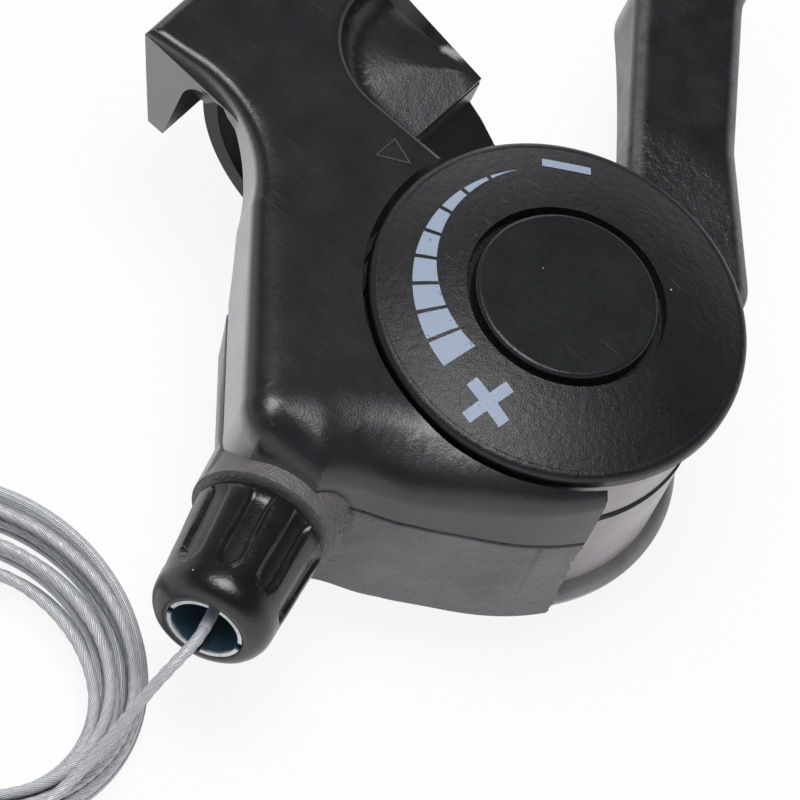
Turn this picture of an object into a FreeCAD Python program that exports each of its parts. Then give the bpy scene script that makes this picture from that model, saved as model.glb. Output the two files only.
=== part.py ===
import FreeCAD, Part
import math
import os
import re
import Sketcher

# A right-hand thumb shifter for a bicycle handlebar. The origin is the middle of the handlebar clamp,
# +X runs from the bar towards the dial, +Y along the bar towards its end and +Z up along the dial's axis.

SIZES = [
    # Layout
    ("bar_radius", 11.1, "handlebar radius at the controls"),
    ("dial_x", 31.4, "bar axis to dial axis"),
    ("dial_y", 11, "dial axis inboard of the clamp's middle"),
    ("rim_height", 17.2, "dial's rim plane above the bar axis"),
    ("dial_turn", 16, "degrees from the bar to the cable's line"),
    ("fit_gap", 0.3, "gap between pieces that pass each other"),
    ("pin_gap", 0.05, "radial clearance of a running fit"),
    # Dial and cap
    ("dial_radius", 19, "dial's outer radius"),
    ("dial_edge", 1.0, "height of the dial's rim"),
    ("dial_crown", 2.9, "rise from rim to the edge of the cap's hole"),
    ("dial_dome", 46, "radius of the dial's domed face"),
    ("rim_round", 0.9, "rounding of the rim"),
    ("dial_hole", 10.05, "radius of the cap's recess"),
    ("cap_ledge", 1.2, "height of the ledge that the cap sits on"),
    ("cap_radius", 9.2, "cap's radius"),
    ("cap_top", 3.3, "height of the cap's face"),
    ("cap_round", 0.5, "rounding of the cap's edge"),
    ("cap_plate", 1.1, "thickness of the cap's face"),
    ("snap_radius", 8.4, "radius of the cap's snap ring"),
    ("snap_wall", 1.2, "wall of the snap ring"),
    ("lip_radius", 18.2, "radius of the dial's lower lip"),
    ("lip_drop", 2.3, "underside of the dial below the rim plane"),
    # Lever and hub
    ("hub_top", 2.7, "lever hub's top below the rim plane"),
    ("hub_plate", 2.4, "thickness of the hub's top"),
    ("hub_radius", 17.8, "hub skirt's radius"),
    ("hub_taper", 0.5, "how far the skirt draws in"),
    ("hub_wall", 2.2, "wall of the hub's skirt"),
    ("skirt_drop", 10.2, "skirt's lower edge below the rim plane"),
    ("boss_radius", 7.2, "hub's inner boss"),
    ("hub_drop", 16.4, "hub's lower end below the rim plane"),
    ("axle_radius", 4.0, "pivot axle's radius"),
    ("arm_left", 4.5, "arm's left edge at the hub, degrees from straight out"),
    ("arm_right", 56, "arm's right edge at the hub, degrees from straight out"),
    ("arm_toe_x", 16.4, "right corner of the arm's root"),
    ("arm_toe_y", 13.9, "right corner of the arm's root"),
    ("arm_side_x", 8.0, "right edge where the root's flare ends"),
    ("arm_side_y", 29.5, "right edge where the root's flare ends"),
    ("bend_right_x", 1.2, "right edge where the arm bends along the bar"),
    ("bend_right_y", 47.8, "right edge where the arm bends along the bar"),
    ("bend_left_x", 8.9, "left edge where the arm bends along the bar"),
    ("bend_left_y", 43.4, "left edge where the arm bends along the bar"),
    ("bend_round", 10, "rounding of the arm's bend"),
    ("pad_right", 10.5, "thumb pad's right edge after the bend"),
    ("pad_left", 12.0, "thumb pad's left edge after the bend"),
    ("pad_round", 4.6, "rounding of the arm's corners"),
    ("arm_depth", 10.5, "depth of the arm's side at the pad"),
    ("arm_round", 1.6, "rounding of the arm's upper edges"),
    ("arch_radius", 55, "curve from the arm's root down to the thumb pad"),
    ("arch_y", 22, "where the arm starts to deepen"),
    ("root_depth", 5.2, "depth of the arm at its root"),
    # Cable drum and cable
    ("cable_radius", 0.6, "shift cable's radius"),
    ("drum_radius", 11.5, "drum's flange radius"),
    ("winding_radius", 10.0, "cable's centre line on the drum"),
    ("cable_drop", 12.0, "cable's line below the rim plane"),
    ("nipple_radius", 2.0, "cable nipple's radius"),
    ("nipple_height", 3.6, "cable nipple's height"),
    ("nipple_angle", 140, "nipple's place on the drum, degrees"),
    ("nipple_cover", 12, "degrees of winding that the nipple takes up"),
    ("guide_start", 6.5, "where the cable leaves the drum's tangent"),
    ("guide_end", 16.5, "where the cable joins the adjuster's line"),
    # Housing
    ("recess_gap", 0.6, "groove between dial and body"),
    ("shell_depth", 8.8, "depth of the upper body's wall"),
    ("housing_drop", 22.6, "housing's underside below the rim plane"),
    ("wall_radius", 20.6, "outer wall at the open end"),
    ("open_start", -51.5, "open side begins, degrees in the dial's frame"),
    ("open_end", 150.3, "open side ends, degrees in the dial's frame"),
    ("cheek_round", 23.5, "wall's radius beside the dial"),
    ("cheek_x", 2.4, "where the wall leaves the dial's curve"),
    ("cheek_y", 22.6, "where the wall leaves the dial's curve"),
    ("snout_x", 12.3, "dial side of the adjuster's end"),
    ("body_end", 28.3, "flat end of the body behind the adjuster"),
    ("end_x", 19.4, "bar side of the flat end"),
    ("heel_round", 4.4, "rounding of the body's end on the bar side"),
    ("snout_cove", 14, "hollow between adjuster's end and wall"),
    ("heel_x", 22.8, "bar side of the adjuster's end"),
    ("heel_y", 25.0, "bar side of the adjuster's end"),
    ("waist_x", 3.0, "inboard edge beside the bar"),
    ("waist_y", 24.3, "inboard edge beside the bar"),
    ("brow_round", 13.5, "curve of the edge over the bar"),
    ("brow_x", 10, "inboard edge over the bar"),
    ("brow_y", 17.0, "inboard edge over the bar"),
    ("nape_x", 3.5, "outboard edge beside the dial"),
    ("nape_y", 6.3, "outboard edge beside the dial"),
    ("nape_round", 8.5, "curve of the outboard edge"),
    ("ridge_x", 4.9, "ridge over the bar"),
    ("ridge_y", 2.4, "ridge begins along the bar"),
    ("edge_round", 1.1, "rounding of the body's upper edges"),
    # Clamp
    ("hook_front", 16.4, "front edge ahead of the bar axis"),
    ("hook_near", 18.0, "clamp's inboard end"),
    ("hook_far", 6.2, "clamp's outboard end"),
    ("hollow_x", 10.3, "hollow behind the hook's end, front side"),
    ("hollow_roof", 15.7, "roof of the hollow above the bar axis"),
    ("hollow_round", 3.0, "rounding of the hollow's front corner"),
    ("hollow_back", 6.0, "where the hollow's roof starts to fall"),
    ("hollow_side", 4.0, "hollow's end beside the bar"),
    ("hollow_foot", 10.3, "height of the hollow's end"),
    ("hollow_near", 12.0, "hollow's depth along the bar"),
    ("tip_x", 12.2, "outer corner of the hook's tip"),
    ("tip_z", 5.4, "hook's tip above the bar axis"),
    ("visor_x", 8.5, "visor's lower edge on the dial side"),
    ("visor_z", 13.6, "visor's lower edge above the bar axis"),
    ("visor_edge", 1.6, "thickness of the visor's lower edge"),
    ("leg_reach", 12.4, "clamp leg's reach on the dial side"),
    ("leg_near", 3.0, "clamp leg's inboard face"),
    ("leg_neck_x", 8.6, "leg's neck under the visor"),
    ("leg_neck_z", 9.3, "leg's neck under the visor"),
    ("leg_bow_x", 10.4, "leg's shoulder"),
    ("leg_bow_z", 8.4, "leg's shoulder"),
    ("leg_side_x", 12.7, "where the shoulder turns down"),
    ("leg_side_z", 6.7, "where the shoulder turns down"),
    ("leg_foot_z", 3.2, "where the leg's outer side begins"),
    ("ear_far", 11.8, "clamp ears' outboard face"),
    ("ear_reach", 21.0, "clamp ears' reach on the dial side"),
    ("ear_near", 0.0, "clamp ears' inboard face"),
    ("ear_top", -1.4, "upper ear's top"),
    ("ear_thick", 3.6, "thickness of the upper ear"),
    ("ear_gap", 1.2, "gap between the clamp's ears"),
    ("flange_thick", 2.4, "thickness of the band's ear"),
    ("band_thick", 1.8, "thickness of the clamp band"),
    ("band_near", 5.4, "band's inboard edge"),
    ("band_lip", 7.6, "height of the band's front lip"),
    ("bolt_x", 17.0, "clamp bolt from the bar axis"),
    ("bolt_y", 7.8, "clamp bolt along the bar"),
    ("bolt_radius", 2.0, "clamp bolt's shank"),
    ("bolt_head", 3.5, "clamp bolt's head radius"),
    ("bolt_head_height", 3.8, "clamp bolt's head height"),
    ("bolt_key", 1.7, "half width of the bolt's hexagon socket"),
    ("nut_half", 3.5, "half width across the clamp nut's flats"),
    ("nut_height", 3.0, "clamp nut's height"),
    # Base and pivot
    ("bowl_radius", 18.9, "base bowl's radius"),
    ("bowl_sill", 13.8, "sill of the bowl's opening for the cable below the rim plane"),
    ("bowl_shoulder", 23.9, "bowl's widest place below the rim plane"),
    ("bowl_foot", 26.4, "foot of the rolled rim below the rim plane"),
    ("bowl_round", 2.4, "rounding under the rolled rim"),
    ("roll_round", 1.9, "rounding over the rolled rim"),
    ("roll_width", 4.6, "width of the rolled rim"),
    ("roll_start", 5.2, "rolled rim stops short of the bar, from the axle"),
    ("fence_inset", 1.4, "bowl's wall inside its rolled rim"),
    ("fence_wall", 1.8, "wall of the fence"),
    ("fence_top", 11.0, "fence's top below the rim plane"),
    ("stack_height", 2.0, "room for the washers between hub and bowl"),
    ("washer_radius", 9.5, "friction washers' radius"),
    ("washer_thick", 0.9, "friction washer's thickness"),
    ("thrust_radius", 7.0, "upper thrust washer's radius"),
    ("thrust_thick", 0.8, "upper thrust washer's thickness"),
    ("lock_half", 5.0, "half width across the tension nut's flats"),
    ("lock_height", 2.6, "tension nut's height"),
    ("axle_nut_half", 6.5, "half width across the axle nut's flats"),
    ("axle_nut_height", 5.2, "axle nut's height"),
    ("foot_washer_radius", 8.0, "washer under the bowl"),
    ("foot_washer_thick", 1.2, "washer under the bowl"),
    ("screw_radius", 0.9, "housing screws' shank"),
    ("screw_head", 1.5, "housing screws' head radius"),
    ("screw_seat", 12.0, "screw heads' seat below the rim plane"),
    ("channel_side", 18.7, "bar side of the cable channel, where the housing steps up"),
    ("screw_head_height", 1.3, "housing screws' head height"),
    ("screw_length", 9, "housing screws' length under the head"),
    ("screw_reach_a", 27.3, "bar side screw from the dial axis"),
    ("screw_angle_a", 221, "bar side screw's place, degrees"),
    ("screw_inset", 1.9, "wall screw outside the bowl"),
    ("screw_angle_b", -100, "wall screw's place, degrees"),
    # Barrel adjuster
    ("barrel_offset", 15.5, "adjuster's line from the dial axis"),
    ("barrel_radius", 6.2, "adjuster's radius"),
    ("barrel_waist", 6.75, "adjuster's radius at its root"),
    ("barrel_root", 30.2, "adjuster's root from the dial axis"),
    ("barrel_mouth", 43.8, "adjuster's mouth from the dial axis"),
    ("barrel_round", 2.2, "rounding of the adjuster's mouth"),
    ("root_round", 1.0, "rounding of the adjuster's root"),
    ("flute_count", 9, "flutes around the adjuster"),
    ("flute_radius", 2.0, "flute cutter's radius"),
    ("flute_depth", 0.6, "flute's depth"),
    ("flute_start", 1.0, "flute's start from the root"),
    ("flute_stop", 5.6, "flute's end from the mouth"),
    ("socket_radius", 3.9, "bore that holds the metal sleeve"),
    ("socket_depth", 9.5, "depth of the housing socket"),
    ("sleeve_wall", 0.4, "metal sleeve's wall"),
    ("sleeve_notch", 1.2, "width of the sleeve's notches"),
    ("notch_depth", 1.6, "depth of the sleeve's notches"),
    ("notch_count", 4, "notches round the sleeve"),
    ("stem_radius", 2.9, "hollow screw's radius"),
    ("stem_bore", 1.2, "hollow screw's bore"),
    ("stem_end", 18.6, "inner end of the hollow screw"),
    ("collar_radius", 7.3, "housing's collar behind the adjuster"),
    ("collar_face", 29.9, "collar's face from the dial axis"),
    ("collar_root", 21.0, "collar's inner end from the dial axis"),
    # Coiled cable
    ("coil_x", 10.5, "coil's middle"),
    ("coil_y", -69.2, "coil's middle"),
    ("coil_inner", 11.5, "coil's inner radius"),
    ("coil_outer", 21.0, "coil's outer radius"),
    ("coil_height", 4.9, "coil's height"),
    ("coil_bevel", 1.3, "bevel of the coil's edges"),
]

# The free cable's route after the adjuster's mouth, down to the coil, one row of x, y and z for each point.
LEAD_ROUTE = [
    (28.5, -60.0, 4.9),
    (28.6, -62.4, 4.0),
    (28.7, -64.4, 2.4),
    (28.7, -69.1, -3.2),
    (28.5, -71.4, -5.1),
    (28.4, -74.1, -6.6),
    (28.3, -77.4, -8.1),
]
RUN_SHARE = 0.45

doc = FreeCAD.newDocument("thumb_shifter")
sizes = doc.addObject("Spreadsheet::Sheet", "Sizes")
for row, (alias, number, note) in enumerate(SIZES, start=1):
    sizes.set(f"A{row}", note)
    sizes.set(f"B{row}", str(number))
    sizes.setAlias(f"B{row}", alias)
doc.recompute()

FUNCTIONS = ("sin", "cos", "sqrt", "deg")


def bound(text):
    """Gives a formula with each size's name pointing at its cell."""
    def cell(found):
        word = found.group(0)
        return word if word in FUNCTIONS else f"Sizes.{word}"
    return re.sub(r"[a-z][a-z_]+", cell, text)


def value(text):
    return float(sizes.evalExpression(bound(text)))


def bind(thing, path, text):
    thing.setExpression(path, bound(text))


# Frames: a piece's own zero is the clamp's middle, the dial's rim plane or the adjuster's axis.
ADJUSTER_X = "dial_x - barrel_offset * cos(dial_turn * 1 deg)"
ADJUSTER_Y = "-dial_y - barrel_offset * sin(dial_turn * 1 deg)"
FRAMES = {
    "clamp": ("0", "0", "0", "0"),
    "dial": ("dial_x", "-dial_y", "rim_height", "dial_turn"),
    "adjuster": (ADJUSTER_X, ADJUSTER_Y, "rim_height - cable_drop", "dial_turn"),
    "coil": ("coil_x", "coil_y", "-bar_radius - band_thick", "0"),
}
UP = FreeCAD.Vector(0, 0, 1)
ACROSS = FreeCAD.Vector(0, 1, 0)
BOLT_SPOT = ("bolt_x", "bolt_y")
SCREWS = (("screw_reach_a", "screw_angle_a"), ("bowl_radius + screw_inset", "screw_angle_b"))
BOWL_FLOOR = "(hub_drop + stack_height)"
CABLE_TOLERANCE = 0.01
LEVEL_TOLERANCE = 1e-6
EXTRA_PIECES = []


def place(thing, frame):
    """Puts a piece into its frame and ties its Placement to the sheet."""
    x, y, z, turn = FRAMES[frame]
    base = FreeCAD.Vector(value(x), value(y), value(z))
    thing.Placement = FreeCAD.Placement(base, FreeCAD.Rotation(UP, value(turn)))
    bind(thing, "Placement.Base.x", x)
    bind(thing, "Placement.Base.y", y)
    bind(thing, "Placement.Base.z", z)
    bind(thing, "Placement.Rotation.Angle", f"({turn}) * 1 deg")


def new_body(label, frame):
    body = doc.addObject("PartDesign::Body", label)
    place(body, frame)
    return body


def origin_feature(body, role):
    return next(feature for feature in body.Origin.OriginFeatures if feature.Role == role)


def new_sketch(body, role, height="0"):
    """A sketch on one of the body's origin planes, lifted along the plane's normal."""
    sketch = body.newObject("Sketcher::SketchObject", f"{body.Name}_sketch")
    sketch.AttachmentSupport = [(origin_feature(body, role), "")]
    sketch.MapMode = "FlatFace"
    bind(sketch, "AttachmentOffset.Base.z", height)
    return sketch


def arc_between(start, end, radius, turn):
    """The shorter arc from start to end; turn is 1 for counter-clockwise and -1 for clockwise."""
    middle = (start + end) * 0.5
    chord = end - start
    rise = math.sqrt(max(radius ** 2 - (chord.Length / 2) ** 2, 0))
    across = FreeCAD.Vector(-chord.y, chord.x, 0).normalize()
    centre = middle + across * rise * turn
    first, last = (start, end) if turn > 0 else (end, start)
    angles = [math.atan2(p.y - centre.y, p.x - centre.x) for p in (first, last)]
    return Part.ArcOfCircle(Part.Circle(centre, UP, radius), *angles)


def draw(sketch, path):
    """Draws a closed outline. Each step is (x, y), or (x, y, radius, turn) when an arc leads to it."""
    spots = [FreeCAD.Vector(value(step[0]), value(step[1]), 0) for step in path]
    ends = []
    for index, step in enumerate(path):
        start = spots[index - 1]
        if len(step) == 2:
            sketch.addGeometry(Part.LineSegment(start, spots[index]))
            ends.append((1, 2))
        else:
            turn = step[3]
            sketch.addGeometry(arc_between(start, spots[index], value(step[2]), turn))
            ends.append((1, 2) if turn > 0 else (2, 1))
    for index, step in enumerate(path):
        following = (index + 1) % len(path)
        last = ends[index][1]
        sketch.addConstraint(Sketcher.Constraint("Coincident", index, last, following, ends[following][0]))
        for kind, text, spot in (("DistanceX", step[0], spots[index].x), ("DistanceY", step[1], spots[index].y)):
            number = sketch.addConstraint(Sketcher.Constraint(kind, index, last, spot))
            bind(sketch, f"Constraints[{number}]", text)
        if len(step) > 2:
            number = sketch.addConstraint(Sketcher.Constraint("Radius", index, value(step[2])))
            bind(sketch, f"Constraints[{number}]", step[2])


def outline(body, role, path, height="0"):
    sketch = new_sketch(body, role, height)
    draw(sketch, path)
    return sketch


def revolve(body, path, role="XZ_Plane"):
    """Turns an outline about the body's axis: Z for a sketch in XZ, Y for one in XY."""
    feature = body.newObject("PartDesign::Revolution", f"{body.Name}_turned")
    feature.Profile = outline(body, role, path)
    feature.ReferenceAxis = (feature.Profile[0], ["V_Axis"])
    feature.Angle = 360
    return feature


def pad(body, role, path, length, height="0", reverse=False):
    feature = body.newObject("PartDesign::Pad", f"{body.Name}_pad")
    feature.Profile = outline(body, role, path, height)
    feature.Reversed = reverse
    bind(feature, "Length", length)
    return feature


def pocket(body, role, path, length, height="0"):
    """Cuts along the sketch's normal, from the given height onwards."""
    feature = body.newObject("PartDesign::Pocket", f"{body.Name}_pocket")
    feature.Profile = outline(body, role, path, height)
    feature.Reversed = True
    bind(feature, "Length", length)
    return feature


def primitive(body, kind, role, base, numbers, lean="0"):
    """A primitive on an origin plane; base is its place in that plane's own axes, and it can lean sideways."""
    feature = body.newObject(f"PartDesign::{kind}", f"{body.Name}_cut")
    feature.AttachmentSupport = [(origin_feature(body, role), "")]
    feature.MapMode = "FlatFace"
    feature.AttachmentOffset = FreeCAD.Placement(FreeCAD.Vector(), FreeCAD.Rotation(ACROSS, value(lean)))
    bind(feature, "AttachmentOffset.Rotation.Angle", f"({lean}) * 1 deg")
    for axis, text in zip("xyz", base):
        bind(feature, f"AttachmentOffset.Base.{axis}", text)
    for name, text in numbers.items():
        bind(feature, name, text)
    return feature


def round_edges(body, radius, chosen):
    """Rounds the edges of the body so far that the test picks."""
    doc.recompute()
    base = body.Tip
    names = [f"Edge{n}" for n, edge in enumerate(base.Shape.Edges, start=1) if chosen(edge)]
    feature = body.newObject("PartDesign::Fillet", f"{body.Name}_round")
    feature.Base = (base, names)
    bind(feature, "Radius", radius)
    return feature


def ring(label, frame, inner, outer, low, high):
    body = new_body(label, frame)
    revolve(body, [(inner, low), (outer, low), (outer, high), (inner, high)])
    return body


def hexagon_path(half, middle):
    """A hexagon with two flats facing the plane's Y axis."""
    x, y = middle
    corner = f"({half}) / cos(30 deg)"
    return [(f"{x} + {corner} * cos({60 * step} deg)", f"{y} + {corner} * sin({60 * step} deg)")
            for step in range(6)]


def flat_at(height):
    """Picks edges that lie in the level plane at a height of the body's own frame."""
    def chosen(edge):
        box = edge.BoundBox
        return max(abs(box.ZMin - height), abs(box.ZMax - height)) < LEVEL_TOLERANCE
    return chosen


def from_dial(x, y):
    """A place of the dial's frame, seen from the clamp's frame."""
    turn = "dial_turn * 1 deg"
    return (f"dial_x + ({x}) * cos({turn}) - ({y}) * sin({turn})",
            f"-dial_y + ({x}) * sin({turn}) + ({y}) * cos({turn})")


def polar(radius, angle):
    """A place given by radius and angle in the dial's frame, seen from the clamp's frame."""
    return from_dial(f"({radius}) * cos(({angle}) * 1 deg)", f"({radius}) * sin(({angle}) * 1 deg)")


def along_adjuster(distance):
    """A point of the adjuster's axis in the XZ plane's own axes; distance counts from the dial axis."""
    x, y = from_dial("-barrel_offset", f"-({distance})")
    return x, "rim_height - cable_drop", f"-({y})"


def make_dial():
    body = new_body("dial", "dial")
    revolve(body, [
        ("snap_radius", "-lip_drop"),
        ("lip_radius", "-lip_drop"),
        ("lip_radius", "-dial_edge"),
        ("dial_radius", "-dial_edge"),
        ("dial_radius", "-rim_round / 4"),
        ("dial_radius - rim_round", "3 * rim_round / 4", "rim_round", 1),
        ("dial_hole", "dial_crown", "dial_dome", 1),
        ("dial_hole", "cap_ledge"),
        ("snap_radius", "cap_ledge"),
    ])


def make_dial_cap():
    body = new_body("dial_cap", "dial")
    revolve(body, [
        ("0", "cap_top - cap_plate"),
        ("snap_radius - snap_wall", "cap_top - cap_plate"),
        ("snap_radius - snap_wall", "-dial_edge"),
        ("snap_radius", "-dial_edge"),
        ("snap_radius", "cap_ledge"),
        ("cap_radius", "cap_ledge"),
        ("cap_radius", "cap_top - cap_round"),
        ("cap_radius - cap_round", "cap_top", "cap_round", 1),
        ("0", "cap_top"),
    ])


def make_lever():
    """The hub is an inverted cup on the axle; the arm grows out of its skirt over a hollow arch."""
    body = new_body("lever", "dial")
    arm_foot = "hub_radius - hub_wall / 2"
    pad(body, "XY_Plane", [
        (f"({arm_foot}) * sin(arm_left * 1 deg)", f"({arm_foot}) * cos(arm_left * 1 deg)"),
        (f"({arm_foot}) * sin(arm_right * 1 deg)", f"({arm_foot}) * cos(arm_right * 1 deg)", arm_foot, -1),
        ("arm_toe_x", "arm_toe_y"),
        ("arm_side_x", "arm_side_y"),
        ("bend_right_x", "bend_right_y"),
        ("bend_right_x + pad_right * sin(dial_turn * 1 deg)",
         "bend_right_y + pad_right * cos(dial_turn * 1 deg)"),
        ("-bend_left_x + pad_left * sin(dial_turn * 1 deg)",
         "bend_left_y + pad_left * cos(dial_turn * 1 deg)"),
        ("-bend_left_x", "bend_left_y"),
    ], "arm_depth", "-hub_top - arm_depth")
    round_edges(body, "bend_round", arm_bend)
    round_edges(body, "pad_round", arm_corner)
    round_edges(body, "arm_round", arm_edge)
    arch_low = "-hub_top - root_depth - arch_radius"
    pocket(body, "YZ_Plane", [
        ("arch_y + arch_radius", arch_low),
        ("arch_y", "-hub_top - root_depth", "arch_radius", 1),
        ("0", "-hub_top - root_depth"),
        ("0", arch_low),
    ], "2 * dial_radius", "-dial_radius")
    revolve(body, [
        ("axle_radius + pin_gap", "-hub_drop"),
        ("boss_radius", "-hub_drop"),
        ("boss_radius", "-hub_top - hub_plate"),
        ("hub_radius - hub_wall", "-hub_top - hub_plate"),
        ("hub_radius - hub_wall", "-skirt_drop"),
        ("hub_radius - hub_taper", "-skirt_drop"),
        ("hub_radius", "-hub_top"),
        ("axle_radius + pin_gap", "-hub_top"),
    ])


def upright_at(x, y):
    """Picks an upright edge of the arm at a place of its plan."""
    spot = FreeCAD.Vector(value(x), value(y), value("-hub_top - arm_depth / 2"))

    def chosen(edge):
        return (edge.BoundBox.Center - spot).Length < LEVEL_TOLERANCE
    return chosen


def arm_bend(edge):
    """Picks the two upright edges where the arm bends along the bar."""
    right = upright_at("bend_right_x", "bend_right_y")
    left = upright_at("-bend_left_x", "bend_left_y")
    return right(edge) or left(edge)


def arm_corner(edge):
    """Picks the arm's other upright edges outside the hub that are sharp in plan."""
    box = edge.BoundBox
    upright = box.ZLength > value("arm_depth") / 2
    bent = abs(box.Center.y - value("(bend_left_y + bend_right_y) / 2")) < value("bend_round")
    return upright and not bent and math.hypot(box.Center.x, box.Center.y) > value("hub_radius")


def arm_edge(edge):
    """Picks the arm's upper edges outside the hub."""
    middle = edge.valueAt((edge.FirstParameter + edge.LastParameter) / 2)
    return flat_at(value("-hub_top"))(edge) and math.hypot(middle.x, middle.y) > value("hub_radius")


def make_cable_drum():
    body = new_body("cable_drum", "dial")
    groove = "winding_radius - cable_radius - pin_gap"
    mouth = "(cable_radius + fit_gap)"
    revolve(body, [
        ("boss_radius", "-hub_drop"),
        ("drum_radius", "-hub_drop"),
        ("drum_radius", f"-cable_drop - {mouth}"),
        (groove, "-cable_drop - cable_radius - pin_gap"),
        (groove, "-cable_drop + cable_radius + pin_gap"),
        ("drum_radius", f"-cable_drop + {mouth}"),
        ("drum_radius", "-hub_top - hub_plate"),
        ("boss_radius", "-hub_top - hub_plate"),
    ])
    primitive(body, "SubtractiveCylinder", "XY_Plane",
              ("winding_radius * cos(nipple_angle * 1 deg)", "winding_radius * sin(nipple_angle * 1 deg)",
               "-cable_drop - nipple_height / 2"),
              {"Radius": "nipple_radius", "Height": "nipple_height"})


def make_nipple():
    body = new_body("cable_nipple", "dial")
    primitive(body, "AdditiveCylinder", "XY_Plane",
              ("winding_radius * cos(nipple_angle * 1 deg)", "winding_radius * sin(nipple_angle * 1 deg)",
               "-cable_drop - nipple_height / 2"),
              {"Radius": "nipple_radius", "Height": "nipple_height"})


def wall_path():
    """The plan's stretch from the bar side of the adjuster's end round the dial to the open side and back."""
    return [
        from_dial("-heel_x", "-heel_y"),
        (*from_dial("-end_x", "-body_end"), "heel_round", 1),
        from_dial("-snout_x", "-body_end"),
        (*from_dial("-cheek_x", "-cheek_y"), "snout_cove", -1),
        (*polar("wall_radius", "open_start"), "cheek_round", 1),
        ("dial_x", "-dial_y"),
        polar("wall_radius", "open_end"),
        ("nape_x", "-nape_y"),
    ]


def body_path():
    """The plan of the body: hook, brow over the bar, wall round the dial and ridge over the bar."""
    hook = [
        ("-hook_front", "-hook_near"),
        ("-brow_x", "-brow_y"),
        ("waist_x", "-waist_y", "brow_round", -1),
    ]
    ridge = [
        ("-ridge_x", "ridge_y", "nape_round", -1),
        ("-ridge_x", "hook_far"),
        ("-hook_front", "hook_far"),
    ]
    return hook + wall_path() + ridge


def make_upper_body():
    """A rounded slab over bar and dial, drawn down into a hook in front of the bar and a visor behind it."""
    body = new_body("upper_body", "clamp")
    pad(body, "XY_Plane", body_path(), "shell_depth", "rim_height - shell_depth")
    round_edges(body, "edge_round", upper_edge)
    clamp_length = "hook_near + hook_far"
    pad(body, "XZ_Plane", [
        ("-ridge_x", "rim_height - edge_round"),
        ("-hook_front", "rim_height - edge_round"),
        ("-tip_x", "tip_z"),
        ("0", "tip_z"),
        ("visor_x", "visor_z - visor_edge"),
        ("visor_x", "visor_z"),
    ], clamp_length, "-hook_far")
    ear_low = "ear_top - ear_thick"
    pad(body, "XZ_Plane", [
        ("0", "visor_z - visor_edge / 2"),
        ("0", ear_low),
        ("leg_reach", ear_low),
        ("leg_reach", "leg_foot_z"),
        ("leg_side_x", "leg_side_z"),
        ("leg_bow_x", "leg_bow_z"),
        ("leg_neck_x", "leg_neck_z"),
        ("leg_neck_x", "visor_z - visor_edge / 2"),
    ], "leg_near + hook_far", "-hook_far")
    pad(body, "XZ_Plane", [
        ("0", ear_low),
        ("ear_reach", ear_low),
        ("ear_reach", "ear_top"),
        ("0", "ear_top"),
    ], "ear_far - ear_near", "-ear_far")
    pocket(body, "XZ_Plane", [
        ("-hook_front", "rim_height - edge_round"),
        ("-hook_front - edge_round", "rim_height - edge_round"),
        ("-hook_front - edge_round", "0"),
        ("-tip_x", "0"),
        ("-tip_x", "tip_z"),
    ], f"{clamp_length} + 2 * edge_round", "-hook_far - edge_round")
    primitive(body, "SubtractiveCylinder", "XZ_Plane", ("0", "0", "-4 * hook_far"),
              {"Radius": "bar_radius", "Height": "4 * hook_far + 4 * hook_near"})
    pocket(body, "XZ_Plane", [
        ("-hollow_x", "0"),
        ("-hollow_x", "hollow_roof - hollow_round"),
        ("-hollow_x + hollow_round", "hollow_roof", "hollow_round", -1),
        ("-hollow_back", "hollow_roof"),
        ("hollow_side", "hollow_foot"),
        ("hollow_side", "0"),
    ], "2 * hook_near - hollow_near", "hollow_near")
    primitive(body, "SubtractiveCylinder", "XY_Plane", ("dial_x", "-dial_y", ear_low),
              {"Radius": "dial_radius + recess_gap", "Height": f"rim_height + edge_round - ({ear_low})"})
    primitive(body, "SubtractiveCylinder", "XY_Plane", (*BOLT_SPOT, ear_low),
              {"Radius": "bolt_radius + pin_gap", "Height": "ear_thick"})
    primitive(body, "SubtractiveCylinder", "XZ_Plane", along_adjuster("collar_root"),
              {"Radius": "collar_radius", "Height": "barrel_mouth - collar_root"}, "dial_turn")
    screw_holes(body)


def screw_holes(body):
    """Holes for the housing screws, from the heads' seat up."""
    for reach, angle in SCREWS:
        primitive(body, "SubtractiveCylinder", "XY_Plane", (*polar(reach, angle), "rim_height - screw_seat"),
                  {"Radius": "screw_radius", "Height": "screw_length"})


def upper_edge(edge):
    """Picks the body's upper edges that face outwards, not the dial's recess or the end faces beside it."""
    if not flat_at(value("rim_height"))(edge):
        return False
    middle = edge.valueAt((edge.FirstParameter + edge.LastParameter) / 2)
    reach = math.hypot(middle.x - value("dial_x"), middle.y + value("dial_y"))
    return reach > value("wall_radius + edge_round")


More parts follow.
